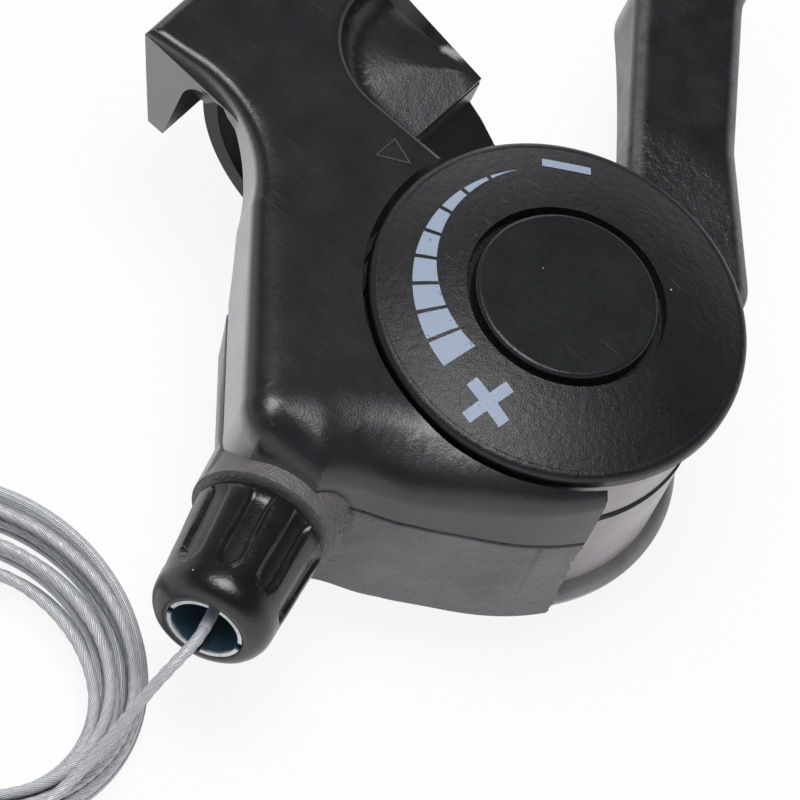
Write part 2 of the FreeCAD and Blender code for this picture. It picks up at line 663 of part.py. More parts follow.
def make_lower_housing():
    """The lower housing carries on the body's wall below the parting line and holds the adjuster's collar."""
    body = new_body("lower_housing", "clamp")
    low = "rim_height - housing_drop"
    pad(body, "XY_Plane", [("waist_x", "-waist_y")] + wall_path(), "housing_drop - shell_depth", low)
    pocket(body, "XY_Plane", [
        from_dial("-channel_side", "-2 * body_end"),
        from_dial("-channel_side", "2 * body_end"),
        from_dial("-4 * channel_side", "2 * body_end"),
        from_dial("-4 * channel_side", "-2 * body_end"),
    ], "housing_drop - screw_seat", low)
    primitive(body, "AdditiveCylinder", "XZ_Plane", along_adjuster("collar_root"),
              {"Radius": "collar_radius", "Height": "collar_face - collar_root"}, "dial_turn")
    primitive(body, "SubtractiveCylinder", "XZ_Plane", ("0", "0", "-4 * hook_far"),
              {"Radius": "bar_radius", "Height": "4 * hook_far + 4 * hook_near"})
    primitive(body, "SubtractiveCylinder", "XY_Plane", ("dial_x", "-dial_y", low),
              {"Radius": "bowl_radius - fence_inset", "Height": "housing_drop"})
    primitive(body, "SubtractiveCylinder", "XY_Plane", ("dial_x", "-dial_y", "rim_height - fence_top"),
              {"Radius": "bowl_radius", "Height": "fence_top"})
    primitive(body, "SubtractiveCylinder", "XZ_Plane", along_adjuster("winding_radius"),
              {"Radius": "stem_radius + pin_gap", "Height": "barrel_mouth - winding_radius"}, "dial_turn")
    screw_holes(body)
    for reach, angle in SCREWS:
        primitive(body, "SubtractiveCylinder", "XY_Plane", (*polar(reach, angle), low),
                  {"Radius": "screw_head + fit_gap", "Height": "housing_drop - screw_seat"})


def make_base_bowl():
    body = new_body("base_bowl", "dial")
    revolve(body, [
        ("axle_radius", "-housing_drop"),
        ("bowl_radius - roll_width", "-housing_drop"),
        ("bowl_radius - roll_width", "-bowl_foot"),
        ("bowl_radius - bowl_round", "-bowl_foot"),
        ("bowl_radius", "-bowl_foot + bowl_round", "bowl_round", 1),
        ("bowl_radius", "-bowl_shoulder"),
        ("bowl_radius - fence_inset", "-housing_drop", "roll_round", 1),
        ("bowl_radius - fence_inset", "-fence_top"),
        ("bowl_radius - fence_inset - fence_wall", "-fence_top"),
        ("bowl_radius - fence_inset - fence_wall", f"-{BOWL_FLOOR}"),
        ("axle_radius", f"-{BOWL_FLOOR}"),
    ])
    primitive(body, "SubtractiveBox", "XY_Plane",
              ("-2 * bowl_radius", "-bowl_radius", "-bowl_sill"),
              {"Length": "2 * bowl_radius - drum_radius / 2", "Width": "bowl_radius + nape_y",
               "Height": "bowl_sill - fence_top"})
    primitive(body, "SubtractiveBox", "XY_Plane",
              ("-2 * bowl_radius", "-2 * bowl_radius", "-2 * bowl_foot"),
              {"Length": "2 * bowl_radius - roll_start", "Width": "4 * bowl_radius",
               "Height": "2 * bowl_foot - housing_drop"})


def make_clamp_band():
    """The strap under the bar: its lip hooks over the body's tip and its ear takes the clamp bolt."""
    body = new_body("clamp_band", "clamp")
    outer = "(bar_radius + band_thick)"
    high = "(ear_top - ear_thick - ear_gap)"
    low = f"({high} - flange_thick)"
    lip_low = "(tip_z - 2 * fit_gap)"
    slope = "(hook_front - tip_x) / (rim_height - edge_round - tip_z)"
    lip_x = f"(-tip_x - (band_lip - tip_z) * {slope} - 2 * fit_gap)"
    pad(body, "XZ_Plane", [
        (f"sqrt(bar_radius * bar_radius - {high} * {high})", high),
        ("0", "-bar_radius", "bar_radius", -1),
        (f"-sqrt(bar_radius * bar_radius - {lip_low} * {lip_low})", lip_low, "bar_radius", -1),
        ("-tip_x - 2 * fit_gap", lip_low),
        (lip_x, "band_lip"),
        (f"{lip_x} - band_thick", "band_lip"),
        (f"{lip_x} - band_thick / 2", "band_thick / 2"),
        (f"-{outer}", "0"),
        ("0", f"-{outer}", outer, 1),
        (f"sqrt({outer} * {outer} - {low} * {low})", low, outer, 1),
        (f"sqrt({outer} * {outer} - {high} * {high})", high),
    ], "band_near + hook_far", "-hook_far")
    middle = "(bar_radius + band_thick / 2)"
    pad(body, "XZ_Plane", [
        (f"sqrt({middle} * {middle} - {high} * {high})", high),
        (f"sqrt({middle} * {middle} - {low} * {low})", low),
        ("ear_reach", low),
        ("ear_reach", high),
    ], "ear_far - ear_near", "-ear_far")
    primitive(body, "SubtractiveCylinder", "XY_Plane", (*BOLT_SPOT, low),
              {"Radius": "bolt_radius + pin_gap", "Height": "flange_thick"})


def make_clamp_bolt():
    body = new_body("clamp_bolt", "clamp")
    seat = "(ear_top - ear_thick - ear_gap - flange_thick)"
    primitive(body, "AdditiveCylinder", "XY_Plane", (*BOLT_SPOT, f"{seat} - bolt_head_height"),
              {"Radius": "bolt_head", "Height": "bolt_head_height"})
    primitive(body, "AdditiveCylinder", "XY_Plane", (*BOLT_SPOT, seat),
              {"Radius": "bolt_radius", "Height": f"ear_top + nut_height + bolt_key / 2 - {seat}"})
    socket = hexagon_path("bolt_key", BOLT_SPOT)
    pocket(body, "XY_Plane", socket, "bolt_head_height / 2", f"{seat} - bolt_head_height")


def make_clamp_nut():
    body = new_body("clamp_nut", "clamp")
    pad(body, "XY_Plane", hexagon_path("nut_half", BOLT_SPOT), "nut_height", "ear_top")
    primitive(body, "SubtractiveCylinder", "XY_Plane", (*BOLT_SPOT, "ear_top"),
              {"Radius": "bolt_radius", "Height": "nut_height"})


def make_pivot_axle():
    body = new_body("pivot_axle", "dial")
    foot = "-rim_height - bar_radius - band_thick"
    top = "-hub_top + thrust_thick + lock_height"
    chamfer = "axle_radius / 5"
    revolve(body, [
        ("0", foot),
        (f"axle_radius - {chamfer}", foot),
        ("axle_radius", f"{foot} + {chamfer}"),
        ("axle_radius", f"{top} - {chamfer}"),
        (f"axle_radius - {chamfer}", top),
        ("0", top),
    ])


def hexagon_nut(label, half, low, height):
    """A nut on the pivot axle."""
    body = new_body(label, "dial")
    pad(body, "XY_Plane", hexagon_path(half, ("0", "0")), height, low)
    primitive(body, "SubtractiveCylinder", "XY_Plane", ("0", "0", low),
              {"Radius": "axle_radius", "Height": height})


def make_pivot_stack():
    """Nuts and washers that press the hub and set the lever's friction."""
    ring("thrust_washer", "dial", "axle_radius", "thrust_radius",
         "-hub_top + pin_gap", "-hub_top + thrust_thick")
    hexagon_nut("tension_nut", "lock_half", "-hub_top + thrust_thick", "lock_height - axle_radius / 5")
    ring("friction_washer", "dial", "axle_radius", "washer_radius",
         "-hub_drop - pin_gap - washer_thick", "-hub_drop - pin_gap")
    ring("spring_washer", "dial", "axle_radius", "washer_radius - axle_radius / 2",
         f"-{BOWL_FLOOR}", "-hub_drop - pin_gap - washer_thick")
    ring("foot_washer", "dial", "axle_radius", "foot_washer_radius",
         "-housing_drop - foot_washer_thick", "-housing_drop")
    hexagon_nut("axle_nut", "axle_nut_half",
                "-housing_drop - foot_washer_thick - axle_nut_height", "axle_nut_height")


def make_housing_screws():
    """Two screws that draw the lower housing up to the body."""
    solids = []
    for reach, angle in SCREWS:
        for radius, low, height in (
            ("screw_radius", "-screw_seat", "screw_length"),
            ("screw_head", "-screw_seat - screw_head_height", "screw_head_height"),
        ):
            solid = doc.addObject("Part::Cylinder", "screw_piece")
            bind(solid, "Radius", radius)
            bind(solid, "Height", height)
            bind(solid, "Placement.Base.x", f"({reach}) * cos(({angle}) * 1 deg)")
            bind(solid, "Placement.Base.y", f"({reach}) * sin(({angle}) * 1 deg)")
            bind(solid, "Placement.Base.z", low)
            solids.append(solid)
    screws = doc.addObject("Part::MultiFuse", "housing_screws")
    screws.Shapes = solids
    place(screws, "dial")
    EXTRA_PIECES.append(screws)


def make_adjuster_barrel():
    body = new_body("adjuster_barrel", "adjuster")
    revolve(body, [
        ("stem_radius", "-barrel_root"),
        ("stem_radius", "-barrel_mouth + socket_depth"),
        ("socket_radius", "-barrel_mouth + socket_depth"),
        ("socket_radius", "-barrel_mouth"),
        ("barrel_radius - barrel_round", "-barrel_mouth"),
        ("barrel_radius", "-barrel_mouth + barrel_round", "barrel_round", 1),
        ("barrel_waist", "-barrel_root - root_round"),
        ("barrel_waist - root_round", "-barrel_root", "root_round", 1),
    ], "XY_Plane")
    reach = "barrel_radius + flute_radius - flute_depth"
    first = "barrel_root + flute_start"
    last = "barrel_mouth - flute_stop"
    flute = body.newObject("PartDesign::Groove", "adjuster_barrel_flute")
    flute.Profile = outline(body, "XY_Plane", [
        (reach, f"-({first}) + flute_radius"),
        (f"{reach} - flute_radius", f"-({first})", "flute_radius", 1),
        (f"{reach} - flute_radius", f"-({last})"),
        (reach, f"-({last}) - flute_radius", "flute_radius", 1),
    ])
    flute.ReferenceAxis = (flute.Profile[0], ["Edge1"])
    flute.Angle = 360
    around(body, [flute], "flute_count")


def around(body, features, count):
    """Repeats features round the adjuster's axis."""
    pattern = body.newObject("PartDesign::PolarPattern", f"{body.Name}_pattern")
    pattern.Originals = features
    pattern.Axis = (origin_feature(body, "Y_Axis"), [""])
    pattern.Angle = 360
    bind(pattern, "Occurrences", count)
    body.Tip = pattern


def make_adjuster_sleeve():
    body = new_body("adjuster_sleeve", "adjuster")
    inner = "socket_radius - sleeve_wall"
    revolve(body, [
        (inner, "-barrel_mouth + socket_depth"),
        (inner, "-barrel_mouth"),
        ("socket_radius", "-barrel_mouth"),
        ("socket_radius", "-barrel_mouth + socket_depth"),
    ], "XY_Plane")
    notch = primitive(body, "SubtractiveBox", "XZ_Plane",
                      ("0", "-sleeve_notch / 2", "barrel_mouth - notch_depth"),
                      {"Length": "2 * socket_radius", "Width": "sleeve_notch", "Height": "2 * notch_depth"})
    around(body, [notch], "notch_count")


def make_adjuster_stem():
    body = new_body("adjuster_stem", "adjuster")
    revolve(body, [
        ("stem_bore", "-barrel_mouth + socket_depth"),
        ("stem_radius", "-barrel_mouth + socket_depth"),
        ("stem_radius", "-stem_end"),
        ("stem_bore", "-stem_end"),
    ], "XY_Plane")


def make_cable_coil():
    body = new_body("cable_coil", "coil")
    revolve(body, [
        ("coil_inner + coil_bevel", "0"),
        ("coil_outer - coil_bevel", "0"),
        ("coil_outer", "coil_bevel"),
        ("coil_outer", "coil_height - coil_bevel"),
        ("coil_outer - coil_bevel", "coil_height"),
        ("coil_inner + coil_bevel", "coil_height"),
        ("coil_inner", "coil_height - coil_bevel"),
        ("coil_inner", "coil_bevel"),
    ])


def rounded_route(points):
    """Straight runs joined by tangent arcs, each as large as its two runs allow."""
    edges = []
    radii = []
    start = points[0]
    for before, corner, after in zip(points, points[1:], points[2:]):
        inward = (before - corner).normalize()
        outward = (after - corner).normalize()
        half_turn = (math.pi - inward.getAngle(outward)) / 2
        set_back = RUN_SHARE * min((before - corner).Length, (after - corner).Length)
        radius = set_back / math.tan(half_turn)
        middle_way = (inward + outward).normalize()
        nearest = radius / math.cos(half_turn) - radius
        first = corner + inward * set_back
        last = corner + outward * set_back
        edges.append(Part.LineSegment(start, first).toShape())
        edges.append(Part.Arc(first, corner + middle_way * nearest, last).toShape())
        radii.append(round(radius, 1))
        start = last
    edges.append(Part.LineSegment(start, points[-1]).toShape())
    return Part.Wire(edges), radii


def sweep(label, frame, wire):
    """A length of cable along a wire."""
    start = wire.Edges[0]
    way = start.tangentAt(start.FirstParameter)
    radius = value("cable_radius")
    circle = Part.Wire([Part.Circle(start.valueAt(start.FirstParameter), way, radius).toShape()])
    piece = doc.addObject("Part::Feature", label)
    piece.Shape = wire.makePipeShell([circle], True, True)
    place(piece, frame)
    EXTRA_PIECES.append(piece)
    expected = math.pi * radius ** 2 * wire.Length
    if abs(piece.Shape.Volume / expected - 1) > CABLE_TOLERANCE:
        raise RuntimeError(f"{label} has the wrong volume")


def make_cables():
    level = -value("cable_drop")
    drum = value("winding_radius")
    line = -value("barrel_offset")
    inner_route = [
        FreeCAD.Vector(-drum, -value("fit_gap"), level),
        FreeCAD.Vector(-drum, -value("guide_start"), level),
        FreeCAD.Vector(line, -value("guide_end"), level),
        FreeCAD.Vector(line, -value("barrel_mouth"), level),
    ]
    wire, radii = rounded_route(inner_route)
    print("cable_run radii", radii)
    sweep("cable_run", "dial", wire)
    mouth = (*from_dial("-barrel_offset", "-barrel_mouth"), "rim_height - cable_drop")
    lead_route = [FreeCAD.Vector(*[value(text) for text in mouth])]
    lead_route += [FreeCAD.Vector(*point) for point in LEAD_ROUTE]
    wire, radii = rounded_route(lead_route)
    print("cable_lead radii", radii)
    sweep("cable_lead", "clamp", wire)
    centre = FreeCAD.Vector(0, 0, level)
    wound = Part.Circle(centre, UP, drum)
    arc = Part.ArcOfCircle(wound, math.radians(value("nipple_angle + nipple_cover")), math.pi)
    sweep("cable_wrap", "dial", Part.Wire([arc.toShape()]))


PIECES = [
    make_dial, make_dial_cap, make_lever, make_cable_drum, make_nipple, make_upper_body, make_lower_housing,
    make_base_bowl, make_clamp_band, make_clamp_bolt, make_clamp_nut, make_pivot_axle, make_pivot_stack,
    make_housing_screws, make_adjuster_barrel, make_adjuster_sleeve, make_adjuster_stem, make_cable_coil,
    make_cables,
]
for make in PIECES:
    make()

doc.recompute()
for thing in doc.Objects:
    if "Invalid" in thing.State or "Error" in thing.State:
        raise RuntimeError(f"{thing.Label} failed: {thing.State}")
pieces = [thing for thing in doc.Objects if thing.TypeId == "PartDesign::Body"] + EXTRA_PIECES
for piece in pieces:
    if piece.Shape.isNull() or not piece.Shape.isValid():
        raise RuntimeError(f"{piece.Label} has no valid shape")
os.makedirs("parts", exist_ok=True)
for piece in pieces:
    piece.Shape.exportStep(f"parts/{piece.Label}.step")
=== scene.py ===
import math

import bmesh
import bpy
from mathutils import Matrix, Vector, kdtree, noise


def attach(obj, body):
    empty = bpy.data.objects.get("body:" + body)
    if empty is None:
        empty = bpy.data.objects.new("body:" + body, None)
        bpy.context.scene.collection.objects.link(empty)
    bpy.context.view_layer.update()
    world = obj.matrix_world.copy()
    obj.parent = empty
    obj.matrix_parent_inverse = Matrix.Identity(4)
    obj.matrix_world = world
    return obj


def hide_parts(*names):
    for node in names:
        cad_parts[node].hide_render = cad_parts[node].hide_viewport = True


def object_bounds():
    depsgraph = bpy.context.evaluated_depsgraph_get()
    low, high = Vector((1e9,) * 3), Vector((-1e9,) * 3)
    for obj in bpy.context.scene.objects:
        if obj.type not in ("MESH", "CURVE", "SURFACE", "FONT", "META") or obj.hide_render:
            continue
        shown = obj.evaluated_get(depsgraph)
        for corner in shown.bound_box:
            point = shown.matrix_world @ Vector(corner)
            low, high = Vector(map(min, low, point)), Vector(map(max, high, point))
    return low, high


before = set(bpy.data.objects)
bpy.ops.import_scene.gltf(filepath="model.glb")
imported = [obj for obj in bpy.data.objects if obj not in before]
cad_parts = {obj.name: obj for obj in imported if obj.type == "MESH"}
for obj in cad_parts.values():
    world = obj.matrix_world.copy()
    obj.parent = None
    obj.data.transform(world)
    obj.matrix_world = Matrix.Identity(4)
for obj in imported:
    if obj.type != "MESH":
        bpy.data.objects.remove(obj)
cad_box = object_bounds()

MM = 0.001
DIAL_TURN = 16.0
DIAL_PLACE = Matrix.Translation(Vector((31.4, -11.0, 17.2)) * MM) @ Matrix.Rotation(math.radians(DIAL_TURN), 4, "Z")

CAMERA_TARGET = Vector((25.68, -25.17, 8.76)) * MM
CAMERA_RIGHT = Vector((0.7398, 0.6165, 0.272))
CAMERA_UP = Vector((-0.6547, 0.5638, 0.5057))
CAMERA_DISTANCE = 1.4
CAMERA_LENS = 654
SENSOR_WIDTH = 36

WALL_WHITE = (0.95, 0.96, 1.0)
CEILING_GREY = (0.09, 0.09, 0.10)
TABLE_LEVEL = cad_box[0].z - 0.00005
TABLE_HALF_WIDTH = 3.0
TABLE_GLOW = 1.04
GLOW_SHARE = 0.86


def add(tree, kind, settings=None, inputs=None):
    """One node, with its settings, and its inputs either set or linked."""
    made = tree.nodes.new(kind)
    for name, setting in (settings or {}).items():
        setattr(made, name, setting)
    for name, entry in (inputs or {}).items():
        if isinstance(entry, bpy.types.NodeSocket):
            tree.links.new(entry, made.inputs[name])
        else:
            made.inputs[name].default_value = entry
    return made


def blank_finish(name):
    finish = bpy.data.materials.new(name)
    finish.use_nodes = True
    tree = finish.node_tree
    tree.nodes.clear()
    out = add(tree, "ShaderNodeOutputMaterial")
    shader = add(tree, "ShaderNodeBsdfPrincipled")
    tree.links.new(shader.outputs[0], out.inputs["Surface"])
    place = add(tree, "ShaderNodeTexCoord").outputs["Object"]
    return finish, tree, shader, place


def noise_at(tree, place, size, detail=3.0, rough=0.5):
    """Noise whose blotches are about that many metres across, from 0 to 1."""
    return add(tree, "ShaderNodeTexNoise", inputs={
        "Vector": place, "Scale": 1 / size, "Detail": detail, "Roughness": rough}).outputs["Fac"]


def spread(tree, source, low, high, start=0.3, stop=0.7):
    """Maps a stretch of the source, from start to stop, onto low to high."""
    return add(tree, "ShaderNodeMapRange", {"clamp": True}, {
        "Value": source, "From Min": start, "From Max": stop, "To Min": low, "To Max": high}).outputs["Result"]


def tones(tree, source, dark, light, start=0.3, stop=0.7):
    """Colours from dark to light along a stretch of the source."""
    ramp = add(tree, "ShaderNodeValToRGB", inputs={"Fac": source})
    ramp.color_ramp.elements[0].position = start
    ramp.color_ramp.elements[0].color = (*dark, 1)
    ramp.color_ramp.elements[1].position = stop
    ramp.color_ramp.elements[1].color = (*light, 1)
    return ramp.outputs["Color"]


def laid_over(tree, share, below, above):
    """One colour over another where share is 1."""
    mix = add(tree, "ShaderNodeMix", {"data_type": "RGBA"})
    for socket, entry in ((mix.inputs[0], share), (mix.inputs[6], below), (mix.inputs[7], above)):
        if isinstance(entry, bpy.types.NodeSocket):
            tree.links.new(entry, socket)
        else:
            socket.default_value = entry
    return mix.outputs[2]


def times(tree, first, second):
    return add(tree, "ShaderNodeMath", {"operation": "MULTIPLY"}, {0: first, 1: second}).outputs[0]


def along_way(tree, source, way):
    """How far a place, or a direction, reaches along a way."""
    return add(tree, "ShaderNodeVectorMath", {"operation": "DOT_PRODUCT"}, {0: source, 1: way}).outputs["Value"]


def facing_way(tree):
    """The way that the surface faces, and how far that is up."""
    facing = add(tree, "ShaderNodeTexCoord").outputs["Normal"]
    return facing, add(tree, "ShaderNodeSeparateXYZ", inputs={0: facing}).outputs["Z"]


def raise_bumps(tree, shader, height, strength, depth):
    bump = add(tree, "ShaderNodeBump", inputs={"Strength": strength, "Distance": depth, "Height": height})
    tree.links.new(bump.outputs[0], shader.inputs["Normal"])


def aim_camera():
    """A long lens looking down on the dial from the cable's side."""
    lens = bpy.data.cameras.new("photo_camera")
    lens.lens = CAMERA_LENS
    lens.sensor_width = SENSOR_WIDTH
    lens.clip_start = 0.01
    lens.clip_end = 20
    camera = bpy.data.objects.new("photo_camera", lens)
    bpy.context.collection.objects.link(camera)
    right = CAMERA_RIGHT.normalized()
    back = right.cross(CAMERA_UP).normalized()
    up = back.cross(right)
    turn = Matrix((right, up, back)).transposed()
    camera.matrix_world = Matrix.Translation(CAMERA_TARGET + CAMERA_DISTANCE * back) @ turn.to_4x4()
    bpy.context.scene.camera = camera


def hang_sky():
    """A room with white walls low down and a dark ceiling."""
    world = bpy.data.worlds.new("white_studio")
    bpy.context.scene.world = world
    world.use_nodes = True
    tree = world.node_tree
    tree.nodes.clear()
    height = add(tree, "ShaderNodeSeparateXYZ", inputs={
        0: add(tree, "ShaderNodeTexCoord").outputs["Generated"]}).outputs["Z"]
    room = add(tree, "ShaderNodeBackground", inputs={
        "Color": tones(tree, height, WALL_WHITE, CEILING_GREY, 0.03, 0.45), "Strength": 1.0})
    add(tree, "ShaderNodeOutputWorld", inputs={"Surface": room.outputs[0]})


def table_finish():
    """White to the eye and to reflections, with enough of a lit surface left to hold a soft shadow."""
    paper = bpy.data.materials.new("white_table")
    paper.use_nodes = True
    tree = paper.node_tree
    tree.nodes.clear()
    lit = add(tree, "ShaderNodeBsdfDiffuse", inputs={"Color": (0.82, 0.82, 0.83, 1)})
    glow = add(tree, "ShaderNodeEmission", inputs={"Color": (1, 1, 1, 1), "Strength": TABLE_GLOW})
    path = add(tree, "ShaderNodeLightPath")
    seen = path.outputs["Is Camera Ray"]
    for ray in ("Is Glossy Ray", "Is Transmission Ray"):
        seen = add(tree, "ShaderNodeMath", {"operation": "MAXIMUM"}, {0: seen, 1: path.outputs[ray]}).outputs[0]
    mix = add(tree, "ShaderNodeMixShader", inputs={
        0: times(tree, seen, GLOW_SHARE), 1: lit.outputs[0], 2: glow.outputs[0]})
    add(tree, "ShaderNodeOutputMaterial", inputs={"Surface": mix.outputs[0]})
    return paper


def lay_floor():
    """A wide white table top."""
    shape = bmesh.new()
    bmesh.ops.create_grid(shape, x_segments=1, y_segments=1, size=TABLE_HALF_WIDTH)
    bmesh.ops.translate(shape, verts=shape.verts, vec=(0, 0, TABLE_LEVEL))
    mesh = bpy.data.meshes.new("table_top")
    shape.to_mesh(mesh)
    shape.free()
    mesh.materials.append(table_finish())
    floor = bpy.data.objects.new("table_top", mesh)
    bpy.context.collection.objects.link(floor)


def hang_lamp(name, place, size, watts):
    """A square soft box aimed at the dial."""
    light = bpy.data.lights.new(name, "AREA")
    light.shape = "SQUARE"
    light.size = size
    light.energy = watts
    lamp = bpy.data.objects.new(name, light)
    bpy.context.collection.objects.link(lamp)
    lamp.location = Vector(place)
    away = (lamp.location - CAMERA_TARGET).normalized()
    lamp.rotation_mode = "QUATERNION"
    lamp.rotation_quaternion = away.to_track_quat("Z", "Y")


aim_camera()
bpy.context.scene.view_settings.view_transform = "Standard"
hang_sky()
lay_floor()
hang_lamp("ceiling_soft_box", (-0.05, -0.12, 0.75), 0.42, 4.2)
hang_lamp("side_soft_box", (-0.55, 0.55, 0.3), 0.4, 0.8)


def dust_flecks(tree, place, spacing, size, share):
    """1 on small scattered specks of dust, 0 elsewhere."""
    cells = add(tree, "ShaderNodeTexVoronoi", inputs={"Vector": place, "Scale": 1 / spacing})
    near = add(tree, "ShaderNodeMath", {"operation": "LESS_THAN"}, {
        0: cells.outputs["Distance"], 1: size / spacing}).outputs[0]
    pick = add(tree, "ShaderNodeSeparateColor", inputs={"Color": cells.outputs["Color"]}).outputs[0]
    chosen = add(tree, "ShaderNodeMath", {"operation": "LESS_THAN"}, {0: pick, 1: share}).outputs[0]
    return times(tree, near, chosen)


def hair_scratches(tree, place, turn, amount):
    """Fine straight handling scratches in one direction, in loose patches."""
    turned = add(tree, "ShaderNodeMapping", inputs={
        "Vector": place, "Rotation": (0, 0, math.radians(turn)), "Scale": (90, 5200, 900)}).outputs[0]
    streak = add(tree, "ShaderNodeTexNoise", inputs={"Vector": turned, "Scale": 1.0, "Detail": 2.0}).outputs["Fac"]
    thin = spread(tree, streak, 0.0, 1.0, 0.69, 0.75)
    patch = spread(tree, noise_at(tree, place, 0.011), 0.0, amount, 0.5, 0.68)
    return times(tree, thin, patch)


# The way that the walls beside the bar face; walls facing this way get the painted sheen.
BAR_SIDE = (-0.72, -0.69, 0.0)


def moulded_plastic(name, dark, light, rough, grain, depth, flecks=0.25, scratches=0.5, specular=0.5, painted_sheen=None):
    """Moulded plastic: cloudy tone, a spark-eroded grain, handling scratches and a little dust.

    The walls that face the bar can be painted pale: a painted sheen that stands for the reflection of the bright
    surroundings.
    """
    finish, tree, shader, place = blank_finish(name)
    cloud = noise_at(tree, place, 0.009, 4.0, 0.6)
    colour = tones(tree, cloud, dark, light)
    worn = hair_scratches(tree, place, 35, scratches)
    crossed = hair_scratches(tree, place, -50, scratches)
    marks = add(tree, "ShaderNodeMath", {"operation": "MAXIMUM"}, {0: worn, 1: crossed}).outputs[0]
    colour = laid_over(tree, marks, colour, (0.20, 0.20, 0.21, 1))
    if painted_sheen:
        # Painted sheen: steep walls facing the bar are painted pale, a painted reflection of the white surroundings.
        facing, upward = facing_way(tree)
        toward_bar = spread(tree, along_way(tree, facing, BAR_SIDE), 0.0, 1.0, 0.35, 0.95)
        steep = spread(tree, upward, 1.0, 0.0, 0.15, 0.50)
        colour = laid_over(tree, times(tree, toward_bar, steep), colour, (*painted_sheen, 1))
    dust = dust_flecks(tree, place, 0.0034, 0.00010, flecks)
    colour = laid_over(tree, dust, colour, (0.55, 0.56, 0.58, 1))
    tree.links.new(colour, shader.inputs["Base Color"])
    fine = noise_at(tree, place, grain, 2.0)
    gloss = spread(tree, noise_at(tree, place, 0.004, 3.0), rough - 0.03, rough + 0.04)
    tree.links.new(gloss, shader.inputs["Roughness"])
    peel = noise_at(tree, place, grain * 6, 2.0)
    ripple = add(tree, "ShaderNodeMath", {"operation": "MULTIPLY_ADD"}, {0: peel, 1: 1.5, 2: fine}).outputs[0]
    relief = add(tree, "ShaderNodeMath", {"operation": "ADD"}, {0: ripple, 1: dust}).outputs[0]
    raise_bumps(tree, shader, relief, 0.8, depth)
    shader.inputs["Specular IOR Level"].default_value = specular
    return finish


# The way that the arm's side towards the bar faces; sides facing this way get a pale painted reflection.
ARM_SIDE = (-0.96, 0.28, 0.0)


def hub_finish(name, black, inner, outer, arm=False):
    """Black plastic whose upright skirt, between two radii round the axle, is painted a pale satin: a painted
    reflection of the white table.

    A thumb arm also gets painted grey highlights along its rounded edges and a pale painted reflection on its bar
    side, with a coarse cast root.
    """
    finish, tree, shader, place = blank_finish(name)
    centred = add(tree, "ShaderNodeVectorMath", {"operation": "SUBTRACT"}, {
        0: place, 1: DIAL_PLACE.translation}).outputs["Vector"]
    flat = add(tree, "ShaderNodeVectorMath", {"operation": "MULTIPLY"}, {0: centred, 1: (1, 1, 0)}).outputs["Vector"]
    reach = add(tree, "ShaderNodeVectorMath", {"operation": "LENGTH"}, {0: flat}).outputs["Value"]
    past = spread(tree, reach, 0.0, 1.0, inner * MM, inner * MM + 0.00005)
    short = spread(tree, reach, 1.0, 0.0, outer * MM, outer * MM + 0.00005)
    facing, upward = facing_way(tree)
    level = add(tree, "ShaderNodeMath", {"operation": "ABSOLUTE"}, {0: upward}).outputs[0]
    upright = spread(tree, level, 1.0, 0.0, 0.15, 0.35)
    # The pale colour on the upright skirt is a painted reflection of the white table.
    skirt = times(tree, times(tree, past, short), upright)
    cloud = noise_at(tree, place, 0.006, 4.0, 0.6)
    pale = tones(tree, cloud, (0.34, 0.30, 0.31), (0.52, 0.47, 0.48))
    dark = tones(tree, cloud, tuple(0.7 * part for part in black), tuple(1.3 * part for part in black))
    worn = hair_scratches(tree, place, 20, 0.5)
    dark = laid_over(tree, worn, dark, (0.16, 0.16, 0.17, 1))
    grain = noise_at(tree, place, 0.00030, 2.0)
    depth = 0.00003
    if arm:
        # Painted highlights: grey along the arm's rounded edges, in patches; painted reflection: pale on its side
        # towards the bar.
        rounded = times(tree, spread(tree, level, 0.0, 1.0, 0.55, 0.75), spread(tree, level, 1.0, 0.0, 0.90, 0.995))
        edge_highlight = times(tree, rounded, noise_at(tree, place, 0.0012, 4.0, 0.7))
        dark = laid_over(tree, edge_highlight, dark, (0.20, 0.20, 0.22, 1))
        toward_bar = spread(tree, along_way(tree, facing, ARM_SIDE), 0.0, 1.0, 0.55, 0.95)
        dark = laid_over(tree, toward_bar, dark, (0.46, 0.45, 0.45, 1))
        begun = spread(tree, reach, 0.0, 1.0, 0.0185, 0.0200)
        ended = spread(tree, reach, 1.0, 0.0, 0.0255, 0.0290)
        coarse = times(tree, times(tree, begun, ended), noise_at(tree, place, 0.0011, 5.0, 0.65))
        grain = add(tree, "ShaderNodeMath", {"operation": "MULTIPLY_ADD"}, {0: coarse, 1: 5.0, 2: grain}).outputs[0]
        depth = 0.00006
    tree.links.new(laid_over(tree, skirt, dark, pale), shader.inputs["Base Color"])
    tree.links.new(spread(tree, noise_at(tree, place, 0.004), 0.27, 0.40), shader.inputs["Roughness"])
    raise_bumps(tree, shader, grain, 0.7, depth)
    shader.inputs["Specular IOR Level"].default_value = 0.7
    return finish


def worked_metal(name, dark, light, rough, brush=(400, 400, 4000)):
    """Turned or rolled metal with fine tool lines and a cloudy surface."""
    finish, tree, shader, place = blank_finish(name)
    lines = add(tree, "ShaderNodeMapping", inputs={"Vector": place, "Scale": brush}).outputs[0]
    tool = add(tree, "ShaderNodeTexNoise", inputs={"Vector": lines, "Scale": 1.0, "Detail": 3.0}).outputs["Fac"]
    cloud = noise_at(tree, place, 0.003, 4.0, 0.6)
    tree.links.new(tones(tree, cloud, dark, light), shader.inputs["Base Color"])
    tree.links.new(spread(tree, tool, rough - 0.08, rough + 0.12), shader.inputs["Roughness"])
    raise_bumps(tree, shader, tool, 0.4, 0.00002)
    shader.inputs["Metallic"].default_value = 1.0
    return finish


ADJUSTER_MOUTH = Vector((28.57, -57.38, 5.2)) * MM
ADJUSTER_AXIS = Vector((0.275637, -0.961262, 0.0))


